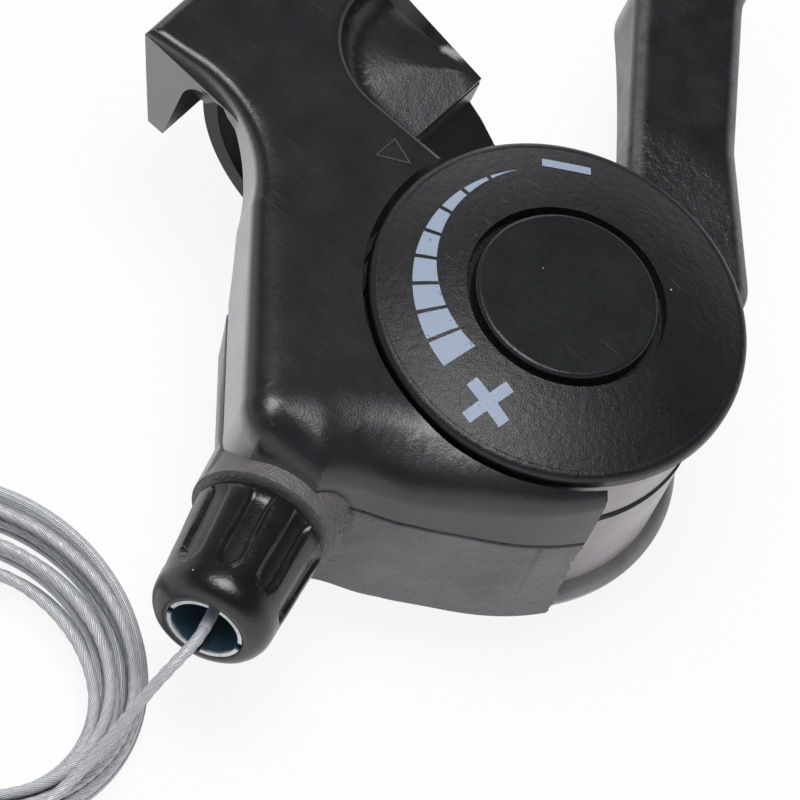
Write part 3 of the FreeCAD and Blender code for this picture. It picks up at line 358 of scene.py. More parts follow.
def sleeve_finish():
    """A plated sleeve: bright at its rim, and further in dark and bluish, a painted shade inside its mouth."""
    finish, tree, shader, place = blank_finish("plated_sleeve")
    along = along_way(tree, place, ADJUSTER_AXIS)
    mouth = ADJUSTER_MOUTH.dot(ADJUSTER_AXIS)
    wander = noise_at(tree, place, 0.002)
    depth = add(tree, "ShaderNodeMath", {"operation": "MULTIPLY_ADD"}, {0: wander, 1: 0.0009, 2: along}).outputs[0]
    rim = spread(tree, depth, 0.0, 1.0, mouth + 0.0001, mouth + 0.0004)
    # Painted shade: past the rim the sleeve is painted dark and bluish, for the shade inside its mouth.
    colour = laid_over(tree, rim, (0.07, 0.14, 0.19, 1), (0.82, 0.84, 0.85, 1))
    tree.links.new(colour, shader.inputs["Base Color"])
    tree.links.new(spread(tree, noise_at(tree, place, 0.0006), 0.25, 0.45), shader.inputs["Roughness"])
    shader.inputs["Metallic"].default_value = 0.35
    return finish


WIRES = 18


def cable_finish():
    """Galvanised steel wire: pale zinc, blotched a little, with painted shade as dark lines in the grooves between
    the fine wires of each strand.
    """
    finish, tree, shader, place = blank_finish("galvanised_wire")
    chart = add(tree, "ShaderNodeUVMap", {"uv_map": "round_the_wire"}).outputs["UV"]
    turn = add(tree, "ShaderNodeSeparateXYZ", inputs={0: chart}).outputs["Y"]
    wave = times(tree, turn, WIRES * 2 * math.pi)
    wires = add(tree, "ShaderNodeMath", {"operation": "COSINE"}, {0: wave}).outputs[0]
    crest = spread(tree, wires, 0.0, 1.0, -0.9, 0.2)
    cloud = noise_at(tree, place, 0.0011, 4.0, 0.65)
    zinc = tones(tree, cloud, (0.76, 0.78, 0.81), (0.95, 0.97, 1.0))
    # Painted shade: the grooves between the wires are painted dark.
    tree.links.new(laid_over(tree, crest, (0.30, 0.31, 0.33, 1), zinc), shader.inputs["Base Color"])
    tree.links.new(spread(tree, noise_at(tree, place, 0.0004), 0.42, 0.60), shader.inputs["Roughness"])
    raise_bumps(tree, shader, crest, 0.6, 0.00006)
    shader.inputs["Metallic"].default_value = 0.35
    return finish


def print_finish():
    """Pale blue-grey pad print, thin in places."""
    finish, tree, shader, place = blank_finish("dial_print")
    thin = noise_at(tree, place, 0.0005, 3.0, 0.6)
    worn = spread(tree, thin, 0.0, 1.0, 0.28, 0.36)
    colour = laid_over(tree, worn, (0.12, 0.13, 0.15, 1), (0.37, 0.45, 0.58, 1))
    tree.links.new(colour, shader.inputs["Base Color"])
    tree.links.new(spread(tree, noise_at(tree, place, 0.0003), 0.45, 0.65), shader.inputs["Roughness"])
    raise_bumps(tree, shader, noise_at(tree, place, 0.0002), 0.4, 0.00003)
    return finish


# The pale colours given to the body and the housing below are a painted sheen on their walls that face the bar.
body_black = moulded_plastic("body_black", (0.0095, 0.0095, 0.0118), (0.0120, 0.0120, 0.0155), 0.32, 0.00022, 0.00002,
                             specular=0.8, painted_sheen=(0.46, 0.45, 0.455))
housing_grey = moulded_plastic("housing_grey", (0.100, 0.096, 0.101), (0.195, 0.188, 0.195), 0.50, 0.00030, 0.00026,
                               scratches=0.15, specular=0.8, painted_sheen=(0.48, 0.465, 0.47))
# The bowl's and the lever's upright skirts get the pale painted reflection.
bowl_black = hub_finish("bowl_black", (0.260, 0.256, 0.266), 0.0, 17.7)
band_black = moulded_plastic("band_black", (0.004, 0.004, 0.005), (0.008, 0.008, 0.009), 0.45, 0.00025, 0.00004)
lever_black = hub_finish("lever_black", (0.009, 0.009, 0.010), 17.0, 17.95, arm=True)
dial_black = moulded_plastic("dial_black", (0.006, 0.006, 0.007), (0.010, 0.010, 0.012), 0.35, 0.00013, 0.00005)
cap_black = moulded_plastic("cap_black", (0.007, 0.007, 0.008), (0.010, 0.011, 0.012), 0.36, 0.00020, 0.00003)
drum_black = moulded_plastic("drum_black", (0.020, 0.020, 0.022), (0.035, 0.035, 0.038), 0.45, 0.00022, 0.00004)
barrel_black = moulded_plastic("barrel_black", (0.004, 0.004, 0.005), (0.008, 0.008, 0.009), 0.26, 0.00028, 0.00003,
                               flecks=0.8, scratches=0.9, specular=0.7)
# The pointer's raised line is painted a lighter grey than the body: a painted highlight.
pointer_highlight = moulded_plastic("pointer_highlight", (0.035, 0.035, 0.040), (0.090, 0.090, 0.098), 0.40, 0.00022, 0.00003)
sleeve_plate = sleeve_finish()
wire_zinc = cable_finish()
print_ink = print_finish()
turned_brass = worked_metal("turned_brass", (0.55, 0.40, 0.16), (0.72, 0.55, 0.26), 0.32)
bright_steel = worked_metal("bright_steel", (0.42, 0.43, 0.45), (0.62, 0.63, 0.65), 0.30)

NODE_FINISHES = {
    "upper_body": body_black, "lower_housing": housing_grey, "base_bowl": bowl_black, "clamp_band": band_black,
    "lever": lever_black, "dial": dial_black, "dial_cap": cap_black, "cable_drum": drum_black,
    "adjuster_barrel": barrel_black, "adjuster_sleeve": sleeve_plate, "adjuster_stem": turned_brass,
    "cable_nipple": bright_steel, "cable_run": wire_zinc, "cable_wrap": wire_zinc, "cable_lead": wire_zinc,
    "cable_coil": wire_zinc, "friction_washer": turned_brass,
}
for name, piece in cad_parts.items():
    finish = NODE_FINISHES.get(name, bright_steel)
    if not piece.material_slots:
        piece.data.materials.append(finish)
    for pocket in piece.material_slots:
        pocket.material = finish


def set_in_place(shape, name, finish, body):
    """Turns a bmesh into a named piece that rides on its body."""
    mesh = bpy.data.meshes.new(name)
    shape.to_mesh(mesh)
    shape.free()
    mesh.materials.append(finish)
    piece = bpy.data.objects.new(name, mesh)
    bpy.context.collection.objects.link(piece)
    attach(piece, body)
    return piece


def finish_piece(shape, name, finish, body):
    """Welds a new piece with flat faces and sets it in place."""
    bmesh.ops.remove_doubles(shape, verts=shape.verts, dist=1e-7)
    bmesh.ops.recalc_face_normals(shape, faces=shape.faces)
    for face in shape.faces:
        face.smooth = False
    return set_in_place(shape, name, finish, body)


# Heights in mm: the shell's flat top, the foot of the rounding round that top in the CAD, and the line where
# the shell and the housing part. Then how far the top rolls down, and the sizes used to divide and join faces.
TOP_LEVEL = 17.2
WALL_TOP = TOP_LEVEL - 1.1
PARTING_LEVEL = 8.4
ROLL_DROP = 5.6
SLICE = 0.9
WELD = 0.02
SOFT_ANGLE = math.radians(38)


def plan_spot(x, y):
    """A place in the dial's own plan as a place in the shifter's plan, both in mm."""
    return Vector((DIAL_PLACE @ (Vector((x, y, 0)) * MM) / MM).to_2d())


def bend_between(start, end, radius, turn, parts):
    """Places along the arc from start to end; turn is 1 for counter-clockwise and -1 for clockwise."""
    chord = end - start
    rise = math.sqrt(max(radius ** 2 - (chord.length / 2) ** 2, 0))
    middle = (start + end) / 2 + Vector((-chord.y, chord.x)).normalized() * rise * turn
    first = start - middle
    sweep = turn * 2 * math.asin(min(chord.length / 2 / radius, 1))
    return [middle + Matrix.Rotation(sweep * part / parts, 2) @ first for part in range(parts + 1)]


# Each stop of the shell's upper edge, from the hook round the adjuster's end to the dial's open side: its place,
# how widely the top rolls over there, and the arc that leads to it, as a radius and a turn.
SHELL_EDGE = [
    (Vector((-16.4, -18.0)), 0.9, None),
    (Vector((-10.0, -17.0)), 1.2, None),
    (Vector((3.0, -24.3)), 2.0, (13.5, -1)),
    (plan_spot(-22.8, -25.0), 3.0, None),
    (plan_spot(-19.4, -28.3), 4.6, (4.4, 1)),
    (plan_spot(-12.3, -28.3), 8.8, None),
    (plan_spot(-2.4, -22.6), 5.6, (14.0, -1)),
    (plan_spot(12.82, -16.12), 2.6, (23.5, 1)),
]
RIDGE_EDGE = [
    (Vector((-4.9, 6.2)), 1.0, None),
    (Vector((-4.9, 2.4)), 1.0, None),
    (Vector((3.5, -6.3)), 1.0, (8.5, 1)),
]
SPOT_SPACING = 0.15


class EdgeLine:
    """A line in plan that tells how far inside it a place lies, and how widely the edge rolls over there."""

    def __init__(self, stops):
        self.spots = []
        for before, after in zip(stops, stops[1:]):
            parts = max(int((after[0] - before[0]).length / SPOT_SPACING), 2)
            if after[2]:
                run = bend_between(before[0], after[0], *after[2], parts)
            else:
                run = [before[0].lerp(after[0], part / parts) for part in range(parts + 1)]
            for part in range(parts):
                along = (run[part + 1] - run[part]).normalized()
                width = before[1] + (after[1] - before[1]) * part / parts
                self.spots.append((run[part], Vector((-along.y, along.x)), width))
        self.tree = kdtree.KDTree(len(self.spots))
        for number, spot in enumerate(self.spots):
            self.tree.insert((*spot[0], 0), number)
        self.tree.balance()

    def inside(self, x, y):
        """Distance inside the line, the roll's width there, the way in, and the distance to the nearest spot."""
        _, number, gap = self.tree.find((x, y, 0))
        spot, inward, width = self.spots[number]
        return (Vector((x, y)) - spot).dot(inward), width, inward, gap


shell_edge = EdgeLine(SHELL_EDGE)
ridge_edge = EdgeLine(RIDGE_EDGE)
axle = plan_spot(0, 0)


def copy_of_node(name):
    """A merged copy of a CAD node, in mm."""
    shape = bmesh.new()
    shape.from_mesh(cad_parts[name].data)
    bmesh.ops.scale(shape, vec=(1 / MM, 1 / MM, 1 / MM), verts=shape.verts)
    bmesh.ops.remove_doubles(shape, verts=shape.verts, dist=1e-4)
    bmesh.ops.dissolve_limit(shape, angle_limit=math.radians(0.2), verts=shape.verts, edges=shape.edges)
    bmesh.ops.triangulate(shape, faces=shape.faces)
    return shape


def slice_faces(shape, chosen, normal, levels):
    """Cuts the chosen faces with parallel planes."""
    for level in levels:
        faces = [face for face in shape.faces if chosen(face)]
        edges = {edge for face in faces for edge in face.edges}
        verts = {vert for face in faces for vert in face.verts}
        bmesh.ops.bisect_plane(shape, geom=list(verts) + list(edges) + faces, dist=1e-5,
                               plane_co=Vector(normal) * level, plane_no=normal)


def steps(first, last, size):
    return [first + size * number for number in range(int((last - first) / size) + 1)]


def finish_copy(shape, name, node, finish, body, crisp=()):
    """Puts a worked copy of a CAD node in its place, with sharp edges, and those named as crisp, kept crisp."""
    crisp = set(crisp)
    for face in shape.faces:
        face.smooth = True
    for edge in shape.edges:
        soft = len(edge.link_faces) == 2 and edge.calc_face_angle(0) < SOFT_ANGLE
        edge.smooth = soft and edge not in crisp
    bmesh.ops.scale(shape, vec=(MM, MM, MM), verts=shape.verts)
    piece = set_in_place(shape, name, finish, body)
    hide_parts(node)
    return piece


def roll_over(shell):
    """Rolls the shell's top over its outer edge into its wall."""
    for vert in shell.verts:
        x, y, z = vert.co
        if z < PARTING_LEVEL + 0.1:
            continue
        depth, width, _, gap = shell_edge.inside(x, y)
        if depth > width or gap > width + 0.5:
            continue
        drop = min(width, ROLL_DROP)
        if depth < 0.08 and z < WALL_TOP + 0.05:
            share = (z - PARTING_LEVEL) / (WALL_TOP - PARTING_LEVEL)
            vert.co.z = PARTING_LEVEL + share * (TOP_LEVEL - drop - PARTING_LEVEL)
        elif z > WALL_TOP - 0.05:
            away = 1 - max(depth, 0) / width
            vert.co.z = min(z, TOP_LEVEL - drop * (1 - math.sqrt(1 - away ** 2)))


# The visor is a plane that falls away from the ridge; the saddle in it is a slope that rises again further out.
VISOR_START, VISOR_STOP, VISOR_SIDE = -4.9, 8.4, 6.1
VISOR_HEIGHT = 16.1
VISOR_FALL = 2.5 / 13.4
SADDLE_DEPTH = 1.9
SADDLE_SLOPE = 2.4
SADDLE_RISE = 9.0


def hollow_visor(shell):
    """Hollows the visor behind the ridge into a saddle."""
    for vert in shell.verts:
        x, y, z = vert.co
        plane = VISOR_HEIGHT - (x - VISOR_START) * VISOR_FALL
        if abs(z - plane) > 0.12 or y > VISOR_SIDE or x < VISOR_START or x > VISOR_STOP:
            continue
        depth = ridge_edge.inside(x, y)[0]
        if depth <= 0:
            continue
        fall = 1 - (1 - min(depth / SADDLE_SLOPE, 1)) ** 2
        rise = max(0.0, (depth - SADDLE_SLOPE) / SADDLE_RISE)
        vert.co.z -= SADDLE_DEPTH * fall * max(0.0, 1 - rise)


# The hollow behind the hook: its ends along X, its wall, its roof, and the sweep that is given to the wall.
HOLLOW_START, HOLLOW_STOP = -10.4, 4.1
HOLLOW_WALL = -12.0
HOLLOW_ROOF = 15.7
HOLLOW_FLOOR = 9.0
SWEEP_START = 10.3
SWEEP_HEIGHT = 5.4


def on_hollow_roof(place, slack):
    return (abs(place.z - HOLLOW_ROOF) < 0.06 and place.y < HOLLOW_WALL + 0.1
            and HOLLOW_START - slack < place.x < HOLLOW_STOP + slack)


def sweep_under_hook(shell):
    """Draws the hollow's wall behind the hook out to the shell's edge, in a sweep that recedes towards the bar."""
    roofs = [face for face in shell.faces if all(on_hollow_roof(vert.co, 0.1) for vert in face.verts)]
    for vert in shell.verts:
        x, y, z = vert.co
        if x < HOLLOW_START or x > HOLLOW_STOP or z > HOLLOW_ROOF + 0.05 or z < HOLLOW_FLOOR:
            continue
        roof = abs(z - HOLLOW_ROOF) < 0.06 and y < HOLLOW_WALL + 0.05
        if not roof and abs(y - HOLLOW_WALL) > 0.05:
            continue
        height = min(max((z - SWEEP_START) / SWEEP_HEIGHT, 0.0), 1.0)
        depth, _, inward, gap = shell_edge.inside(x, y)
        if depth < 0:
            continue
        drawn = gap if roof else gap * (1 - (1 - height) ** 2)
        vert.co.x -= drawn * inward.x
        vert.co.y -= drawn * inward.y
    bmesh.ops.delete(shell, geom=roofs, context="FACES")
    lips = [vert for vert in shell.verts if on_hollow_roof(vert.co, 0.2)]
    bmesh.ops.remove_doubles(shell, verts=lips, dist=0.5)


COVE_MIDDLE = plan_spot(-4.6, -23.2)
COVE_LIMIT = 12
COVE_WIDTH = 5.0
COVE_WALL = 2.6
COVE_FILL = 1.55


def fill_cove(shell):
    """Eases the hollow between the adjuster's end and the wall round the dial."""
    for vert in shell.verts:
        spot = vert.co.to_2d()
        away = (spot - COVE_MIDDLE).length
        if away > COVE_LIMIT:
            continue
        depth, _, inward, gap = shell_edge.inside(*spot)
        if gap > COVE_WALL:
            continue
        push = COVE_FILL * math.exp(-(away / COVE_WIDTH) ** 2) * (1 - max(depth, 0) / COVE_WALL)
        vert.co.x -= push * inward.x
        vert.co.y -= push * inward.y


RECESS_REACH = 22.5
ROLL_LIMIT = 6.0
SLICED_ABOVE = 9.0


def shape_upper_shell():
    """The shell with its rolled edge, the hollow behind its hook, its cove and its saddle, crisp round the dial."""
    shell = copy_of_node("upper_body")

    def round_the_dial(place):
        return (place.to_2d() - axle).length < RECESS_REACH and shell_edge.inside(place.x, place.y)[0] > ROLL_LIMIT

    def upper(face):
        if round_the_dial(face.calc_center_median()) and abs(face.normal.z) < 0.98:
            return False
        return max(vert.co.z for vert in face.verts) > SLICED_ABOVE

    def leaves_top(side):
        flat = [face.normal.z > 0.9998 for face in side.link_faces]
        return any(flat) and not all(flat) and round_the_dial(side.verts[0].co)

    slice_faces(shell, upper, (0, 0, 1), steps(SLICED_ABOVE, 16.0, 1.0))
    slice_faces(shell, upper, (1, 0, 0), steps(-15.0, 48.0, SLICE))
    slice_faces(shell, upper, (0, 1, 0), steps(-43.0, 6.0, SLICE))
    bmesh.ops.remove_doubles(shell, verts=shell.verts, dist=WELD)
    sweep_under_hook(shell)
    roll_over(shell)
    fill_cove(shell)
    hollow_visor(shell)
    bmesh.ops.recalc_face_normals(shell, faces=shell.faces)
    crisp = [side for side in shell.edges if leaves_top(side)]
    return finish_copy(shell, "upper_shell", "upper_body", body_black, "bracket", crisp)


GROOVE_HEIGHT = 0.5
GROOVE_DEPTH = 0.6
END_TURN = math.radians(DIAL_TURN - 51.5)
END_OUT = Vector((math.cos(END_TURN), math.sin(END_TURN)))
END_ACROSS = Vector((-END_OUT.y, END_OUT.x))
END_REACH = 20.0
END_MIDDLE, END_HALF = 1.4, 6.7
NOTCH_LEVEL, NOTCH_HALF, NOTCH_DEPTH = 4.1, 0.5, 0.9


def ragged_end(height):
    """How far the torn end of the wall stands out at a height, with one deep notch."""
    ragged = 0.5 * noise.noise((0.3, height * 1.7, 0.9)) + 0.25 * noise.noise((4.2, height * 4.1, 0.2))
    if abs(height - NOTCH_LEVEL) < NOTCH_HALF:
        ragged -= NOTCH_DEPTH
    return ragged


def shape_lower_housing():
    """The housing with its parting groove, its cove and the ragged end that the mould left."""
    shell = copy_of_node("lower_housing")

    def end_of_wall(face):
        middle = face.calc_center_median().to_2d() - axle
        return abs(middle.dot(END_ACROSS)) < 3.5 and middle.dot(END_OUT) > 15

    def under_shell(face):
        return max(vert.co.z for vert in face.verts) > PARTING_LEVEL - 0.1

    def in_cove(face):
        return (face.calc_center_median().to_2d() - COVE_MIDDLE).length < COVE_LIMIT + 2

    groove_foot = PARTING_LEVEL - GROOVE_HEIGHT
    slice_faces(shell, under_shell, (0, 0, 1), [groove_foot - 0.1, groove_foot])
    slice_faces(shell, end_of_wall, (0, 0, 1), steps(-5.0, 8.0, SLICE / 2))
    slice_faces(shell, in_cove, (1, 0, 0), steps(12.0, 42.0, SLICE))
    slice_faces(shell, in_cove, (0, 1, 0), steps(-44.0, -24.0, SLICE))
    slice_faces(shell, in_cove, (0, 0, 1), steps(-5.0, 7.6, SLICE))
    bmesh.ops.remove_doubles(shell, verts=shell.verts, dist=WELD)
    for vert in shell.verts:
        x, y, z = vert.co
        _, _, inward, gap = shell_edge.inside(x, y)
        if groove_foot - 0.05 < z < PARTING_LEVEL + 0.15 and gap < 0.3:
            vert.co.x += GROOVE_DEPTH * inward.x
            vert.co.y += GROOVE_DEPTH * inward.y
        spot = vert.co.to_2d() - axle
        on_end = abs(spot.dot(END_ACROSS)) < 0.05 and spot.dot(END_OUT) > END_REACH
        if on_end and abs(z - END_MIDDLE) < END_HALF:
            ragged = ragged_end(z)
            vert.co.x += ragged * END_ACROSS.x
            vert.co.y += ragged * END_ACROSS.y
    fill_cove(shell)
    return finish_copy(shell, "lower_shell", "lower_housing", housing_grey, "bracket")


MOUTH_REACH = 43.8


def adjuster_place():
    """The frame of the adjuster: Z along its line from the dial, origin abreast of the dial."""
    root = (ADJUSTER_MOUTH - ADJUSTER_AXIS * MOUTH_REACH * MM) / MM
    side = Vector((0, 0, 1)).cross(ADJUSTER_AXIS)
    turn = Matrix((side, Vector((0, 0, 1)), ADJUSTER_AXIS)).transposed()
    return Matrix.Translation(root) @ turn.to_4x4()


# The barrel's outline, as radius and distance along the adjuster's line.
BARREL_LINE = [
    (2.9, 30.2), (5.75, 30.2), (6.2, 30.32), (6.52, 30.6), (6.7, 31.0), (6.73, 31.4), (6.70, 32.1), (6.66, 32.8),
    (6.62, 33.5), (6.58, 34.2), (6.54, 34.9), (6.51, 35.6), (6.48, 36.3), (6.45, 37.0), (6.41, 37.7), (6.37, 38.4),
    (6.34, 38.9), (6.31, 39.4), (6.29, 39.8), (6.27, 40.2), (6.25, 40.6), (6.24, 41.0), (6.22, 41.4), (6.12, 42.1),
    (5.86, 42.7), (5.46, 43.25), (4.95, 43.65), (4.45, 43.8), (4.1, 43.8), (3.96, 43.72), (3.9, 43.5), (3.9, 34.3),
    (2.9, 34.3),
]
GRIP_REACH, GRIP_END = 5.6, 42.0
FLUTES = 9
FACETS_PER_FLUTE = 22
FLUTE_DEPTH = 0.55
FLUTE_HALF = 1.35
FLUTE_SHOULDER = 0.42
FLUTE_START, FLUTE_END = 30.9, 40.3
FLUTE_RUN_IN = 0.7
FLUTE_TURN = 20.0


def ease(share):
    share = min(max(share, 0.0), 1.0)
    return share * share * (3 - 2 * share)


def shape_barrel():
    """The adjuster's grip: a spun barrel with long flutes whose ends are round towards the mouth."""
    shape = bmesh.new()
    row = [shape.verts.new((reach, 0, along)) for reach, along in BARREL_LINE]
    edges = [shape.edges.new(pair) for pair in zip(row, row[1:] + row[:1])]
    bmesh.ops.spin(shape, geom=row + edges, axis=(0, 0, 1), angle=2 * math.pi, steps=FLUTES * FACETS_PER_FLUTE,
                   use_merge=True)
    bmesh.ops.remove_doubles(shape, verts=shape.verts, dist=1e-4)
    bmesh.ops.recalc_face_normals(shape, faces=shape.faces)
    pitch = 2 * math.pi / FLUTES
    for vert in shape.verts:
        reach = math.hypot(vert.co.x, vert.co.y)
        along = vert.co.z
        if reach < GRIP_REACH or along > GRIP_END:
            continue
        angle = math.atan2(vert.co.y, vert.co.x) - math.radians(FLUTE_TURN)
        aside = abs((angle / pitch + 0.5) % 1.0 - 0.5) * pitch * reach
        past = max(0.0, along - (FLUTE_END - FLUTE_HALF))
        away = math.hypot(aside, past)
        wall = ease((away - FLUTE_HALF + FLUTE_SHOULDER) / FLUTE_SHOULDER)
        cut = FLUTE_DEPTH * (1 - wall) * ease((along - FLUTE_START) / FLUTE_RUN_IN)
        vert.co.x *= (reach - cut) / reach
        vert.co.y *= (reach - cut) / reach
    bmesh.ops.transform(shape, matrix=adjuster_place(), verts=shape.verts)
    return finish_copy(shape, "adjuster_grip", "adjuster_barrel", barrel_black, "adjuster")


shape_upper_shell()
shape_lower_housing()
shape_barrel()

# The dome's arc in section: its radius, and where its middle lies from the axle and from the rim plane.
DOME_RADIUS = 46.0
DOME_ASIDE = 1.87
DOME_SUNK = 42.37
INK = 0.05


def dome_height(reach):
    """The dial's dome above the rim plane, in mm."""
    return -DOME_SUNK + math.sqrt(DOME_RADIUS ** 2 - (reach - DOME_ASIDE) ** 2)


def print_on_dial(shape, name):
    """Drapes a flat print, in mm in the dial's frame, on the dome and gives the ink its thickness."""
    for vert in shape.verts:
        vert.co.z = dome_height(math.hypot(vert.co.x, vert.co.y)) + INK
    bmesh.ops.recalc_face_normals(shape, faces=shape.faces)
    for face in shape.faces:
        if face.normal.z < 0:
            face.normal_flip()
    bmesh.ops.solidify(shape, geom=shape.faces[:], thickness=2 * INK)
    bmesh.ops.transform(shape, matrix=DIAL_PLACE @ Matrix.Scale(MM, 4), verts=shape.verts)
    return finish_piece(shape, name, print_ink, "lever")


WEDGE_TIP, WEDGE_END = 132.0, 243.0
WEDGE_OUTER, WEDGE_INNER = 15.1, 11.4
WEDGE_PARTS = 9
WEDGE_GAP = 1.7
WEDGE_THINNEST = 0.012


def print_gauge():
    """The tension gauge: a wedge of nine blocks that widens round the dial."""
    shape = bmesh.new()
    step = (WEDGE_END - WEDGE_TIP) / WEDGE_PARTS
    for part in range(WEDGE_PARTS):
        start = WEDGE_TIP + part * step
        sweep = step - WEDGE_GAP
        row = [shape.verts.new((WEDGE_INNER + share * (WEDGE_OUTER - WEDGE_INNER), 0, 0))
               for share in (0, 0.34, 0.67, 1)]
        edges = [shape.edges.new(pair) for pair in zip(row, row[1:])]
        bmesh.ops.rotate(shape, verts=row, matrix=Matrix.Rotation(math.radians(start), 3, "Z"))
        bmesh.ops.spin(shape, geom=row + edges, axis=(0, 0, 1), angle=math.radians(sweep), steps=5)
    for vert in shape.verts:
        around = math.degrees(math.atan2(vert.co.y, vert.co.x)) % 360
        reach = math.hypot(vert.co.x, vert.co.y)
        width = max((around - WEDGE_TIP) / (WEDGE_END - WEDGE_TIP), WEDGE_THINNEST)
        reach = WEDGE_OUTER - (WEDGE_OUTER - reach) * width
        vert.co.x = reach * math.cos(math.radians(around))
        vert.co.y = reach * math.sin(math.radians(around))
    return print_on_dial(shape, "tension_gauge_print")


def print_bar(shape, middle, turn, length, width):
    """A bar of the minus or plus, divided so that it can lie on the dome."""
    bar = bmesh.ops.create_grid(shape, x_segments=10, y_segments=3, size=0.5)["verts"]
    bmesh.ops.scale(shape, vec=(length, width, 1), verts=bar)
    bmesh.ops.rotate(shape, verts=bar, matrix=Matrix.Rotation(math.radians(turn), 3, "Z"))
    bmesh.ops.translate(shape, vec=(*middle, 0), verts=bar)


def print_minus():
    shape = bmesh.new()
    print_bar(shape, (-5.92, 14.62), 21.0, 4.9, 1.0)
    return print_on_dial(shape, "minus_print")


PLUS_MIDDLE = Vector((-1.9, -14.55))
PLUS_TURN = 64.0
PLUS_LENGTH, PLUS_WIDTH = 5.2, 1.25


def print_plus():
    """One long bar and two short ones that meet it."""
    shape = bmesh.new()
    print_bar(shape, PLUS_MIDDLE, PLUS_TURN, PLUS_LENGTH, PLUS_WIDTH)
    short = (PLUS_LENGTH - PLUS_WIDTH) / 2
    cross = PLUS_TURN - 90
    out = Vector((math.cos(math.radians(cross)), math.sin(math.radians(cross)))) * (PLUS_WIDTH + short) / 2
    print_bar(shape, PLUS_MIDDLE + out, cross, short, PLUS_WIDTH)
    print_bar(shape, PLUS_MIDDLE - out, cross, short, PLUS_WIDTH)
    return print_on_dial(shape, "plus_print")


POINTER_CORNERS = [(7.9, -11.47), (10.89, -9.42), (7.93, -8.38)]
POINTER_LINE = 0.30
POINTER_HEIGHT = 0.14
POINTER_ROUND = 0.06
POINTER_SUNK = 0.04


def raise_pointer():
    """The moulded triangle on the body that points at the dial: a raised line round three sides."""
    shape = bmesh.new()
    corners = bmesh.ops.create_circle(shape, cap_ends=True, segments=3, radius=1.0)["verts"]
    for vert, spot in zip(corners, POINTER_CORNERS):
        vert.co = (*spot, 0)
    rim = bmesh.ops.inset_region(shape, faces=shape.faces[:], thickness=POINTER_LINE, depth=0.0,
                                 use_boundary=True)["faces"]
    field = [face for face in shape.faces if face not in rim]
    bmesh.ops.delete(shape, geom=field, context="FACES")
    bmesh.ops.recalc_face_normals(shape, faces=shape.faces)
    grown = bmesh.ops.extrude_face_region(shape, geom=shape.faces[:])
    top = [item for item in grown["geom"] if isinstance(item, bmesh.types.BMVert)]
    bmesh.ops.translate(shape, vec=(0, 0, POINTER_HEIGHT), verts=top)
    edges = [edge for edge in shape.edges if all(vert.co.z > POINTER_HEIGHT / 2 for vert in edge.verts)]
    bmesh.ops.bevel(shape, geom=edges, offset=POINTER_ROUND, segments=2, profile=0.5, affect="EDGES", material=-1)
    bmesh.ops.translate(shape, vec=(0, 0, TOP_LEVEL - POINTER_SUNK), verts=shape.verts)
    bmesh.ops.scale(shape, vec=(MM, MM, MM), verts=shape.verts)
    # The pointer's lighter colour is a painted highlight.
    return finish_piece(shape, "pointer_triangle", pointer_highlight, "bracket")


print_gauge()
print_minus()
print_plus()
raise_pointer()

CABLE_THICKNESS = 1.2
STRANDS = 6
SECTION_POINTS = STRANDS * 3
STRAND_DIP = 0.20
STRAND_LAY = 9.0
LEAD_ROUTE = [
    (28.57, -57.38, 5.2),
    (28.85, -58.35, 5.2),
    (28.95, -60.2, 4.8),
    (28.9, -62.4, 3.8),
    (28.8, -64.6, 2.1),
    (28.8, -69.1, -2.8),
    (28.7, -71.8, -4.9),
    (28.6, -74.6, -6.4),
    (28.2, -78.0, -7.2),
    (27.2, -81.2, -7.4),
]
INNER_RING = (Vector((13.2, -70.0)), 12.8)
OUTER_RING = (Vector((11.2, -68.1)), 19.2)
LAYER_TOP = -7.42
LAYER_STEP = 1.22
TURNS_IN_LAYERS = [2.5, 3.0, 3.0, 3.0, 3.0]
TURN_OF_DROP = 0.35
POINTS_PER_TURN = 18
COIL_START = -46.0
LEAN = Vector((0.154, -0.54))
LEAN_LEVEL = -10.5


def coil_point(turn, layer, share):
    """A place in the coil: share runs from the inner ring, 0, to the outer ring, 1."""
    angle = math.radians(COIL_START) - turn * 2 * math.pi
    height = LAYER_TOP - LAYER_STEP * layer
    middle = INNER_RING[0].lerp(OUTER_RING[0], share) + LEAN * (height - LEAN_LEVEL)
    reach = INNER_RING[1] + share * (OUTER_RING[1] - INNER_RING[1])
    loose = 0.24 * math.sin(2 * angle + 1.9 * layer) + 0.14 * math.sin(3 * angle + 0.7 * layer)
    x = middle.x + (reach + loose) * math.cos(angle)
    y = middle.y + (reach + loose) * math.sin(angle)
    return (x, y, height)


def coil_points():
    """Turns that run in and out in layers from the top down, as a cable drops when it is coiled by hand."""
    points = []
    before = 0.0
    for layer, turns in enumerate(TURNS_IN_LAYERS):
        count = int(turns * POINTS_PER_TURN)
        for number in range(count):
            along = number / count
            share = 1 - along if layer % 2 == 0 else along
            past = max(0.0, 1 - (1 - along) * turns / TURN_OF_DROP)
            drop = past if layer < len(TURNS_IN_LAYERS) - 1 else 0.0
            points.append(coil_point(before + along * turns, layer + drop, share))
        before += turns
    return points


def wrap_strands(mesh):
    """Smooth faces, and a map whose V goes once round the wire."""
    chart = mesh.uv_layers.new(name="round_the_wire")
    for face in mesh.polygons:
        face.use_smooth = True
        turns = [mesh.loops[corner].vertex_index % SECTION_POINTS for corner in face.loop_indices]
        seam = max(turns) - min(turns) > SECTION_POINTS / 2
        for corner, turn in zip(face.loop_indices, turns):
            row = mesh.loops[corner].vertex_index // SECTION_POINTS
            chart.data[corner].uv = (row, 1.0 if seam and turn == 0 else turn / SECTION_POINTS)
    mesh.uv_layers.active = chart


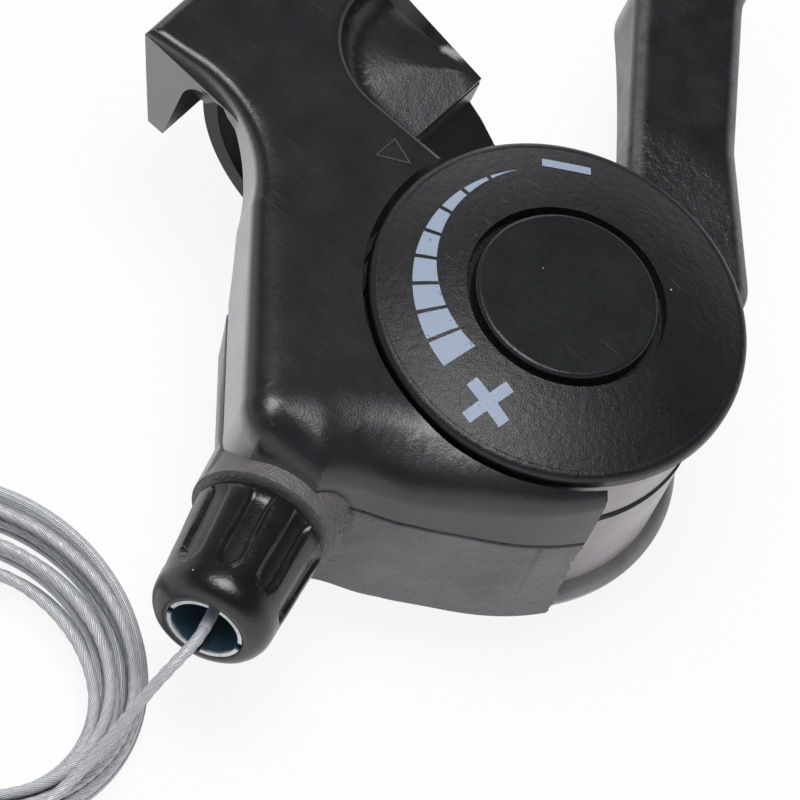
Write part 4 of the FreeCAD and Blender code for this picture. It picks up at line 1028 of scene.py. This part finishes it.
def trace_route():
    """The cable's line as a curve that twists with the lay of the strands."""
    route = bpy.data.curves.new("shift_cable", "CURVE")
    route.dimensions = "3D"
    route.resolution_u = 14
    route.twist_mode = "MINIMUM"
    spline = route.splines.new("NURBS")
    points = LEAD_ROUTE + coil_points()
    spline.points.add(len(points) - 1)
    lay = 0.0
    before = None
    for point, place in zip(spline.points, points):
        spot = Vector(place)
        lay += 0 if before is None else (spot - before).length
        before = spot
        point.co = (*(spot * MM), 1)
        point.tilt = lay * 2 * math.pi / STRAND_LAY
    spline.order_u = 3
    spline.use_endpoint_u = True
    return route


def strand_section():
    """A section across the cable, with a rounded lobe for each strand."""
    section = bpy.data.curves.new("strand_section", "CURVE")
    section.dimensions = "2D"
    ring = section.splines.new("POLY")
    ring.points.add(SECTION_POINTS - 1)
    for number, point in enumerate(ring.points):
        angle = 2 * math.pi * number / SECTION_POINTS
        reach = CABLE_THICKNESS / 2 * (1 - STRAND_DIP * (1 - abs(math.cos(STRANDS / 2 * angle))))
        point.co = (reach * math.cos(angle) * MM, reach * math.sin(angle) * MM, 0, 1)
    ring.use_cyclic_u = True
    return section


def mesh_of(curve):
    bpy.context.view_layer.update()
    return bpy.data.meshes.new_from_object(curve.evaluated_get(bpy.context.evaluated_depsgraph_get()))


def lay_cable():
    """One smooth line from the adjuster's mouth through the coil, with six twisted strands round it."""
    route = trace_route()
    line = bpy.data.objects.new("shift_cable_line", route)
    bpy.context.collection.objects.link(line)
    path = [tuple(vert.co) for vert in mesh_of(line).vertices]
    profile = bpy.data.objects.new("strand_section", strand_section())
    bpy.context.collection.objects.link(profile)
    route.bevel_mode = "OBJECT"
    route.bevel_object = profile
    route.use_fill_caps = True
    mesh = mesh_of(line)
    bpy.data.objects.remove(line)
    bpy.data.objects.remove(profile)
    mesh.name = "shift_cable"
    mesh.materials.clear()
    mesh.materials.append(wire_zinc)
    wrap_strands(mesh)
    cable = bpy.data.objects.new("shift_cable", mesh)
    bpy.context.collection.objects.link(cable)
    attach(cable, "bracket")
    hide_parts("cable_lead", "cable_coil")


lay_cable()
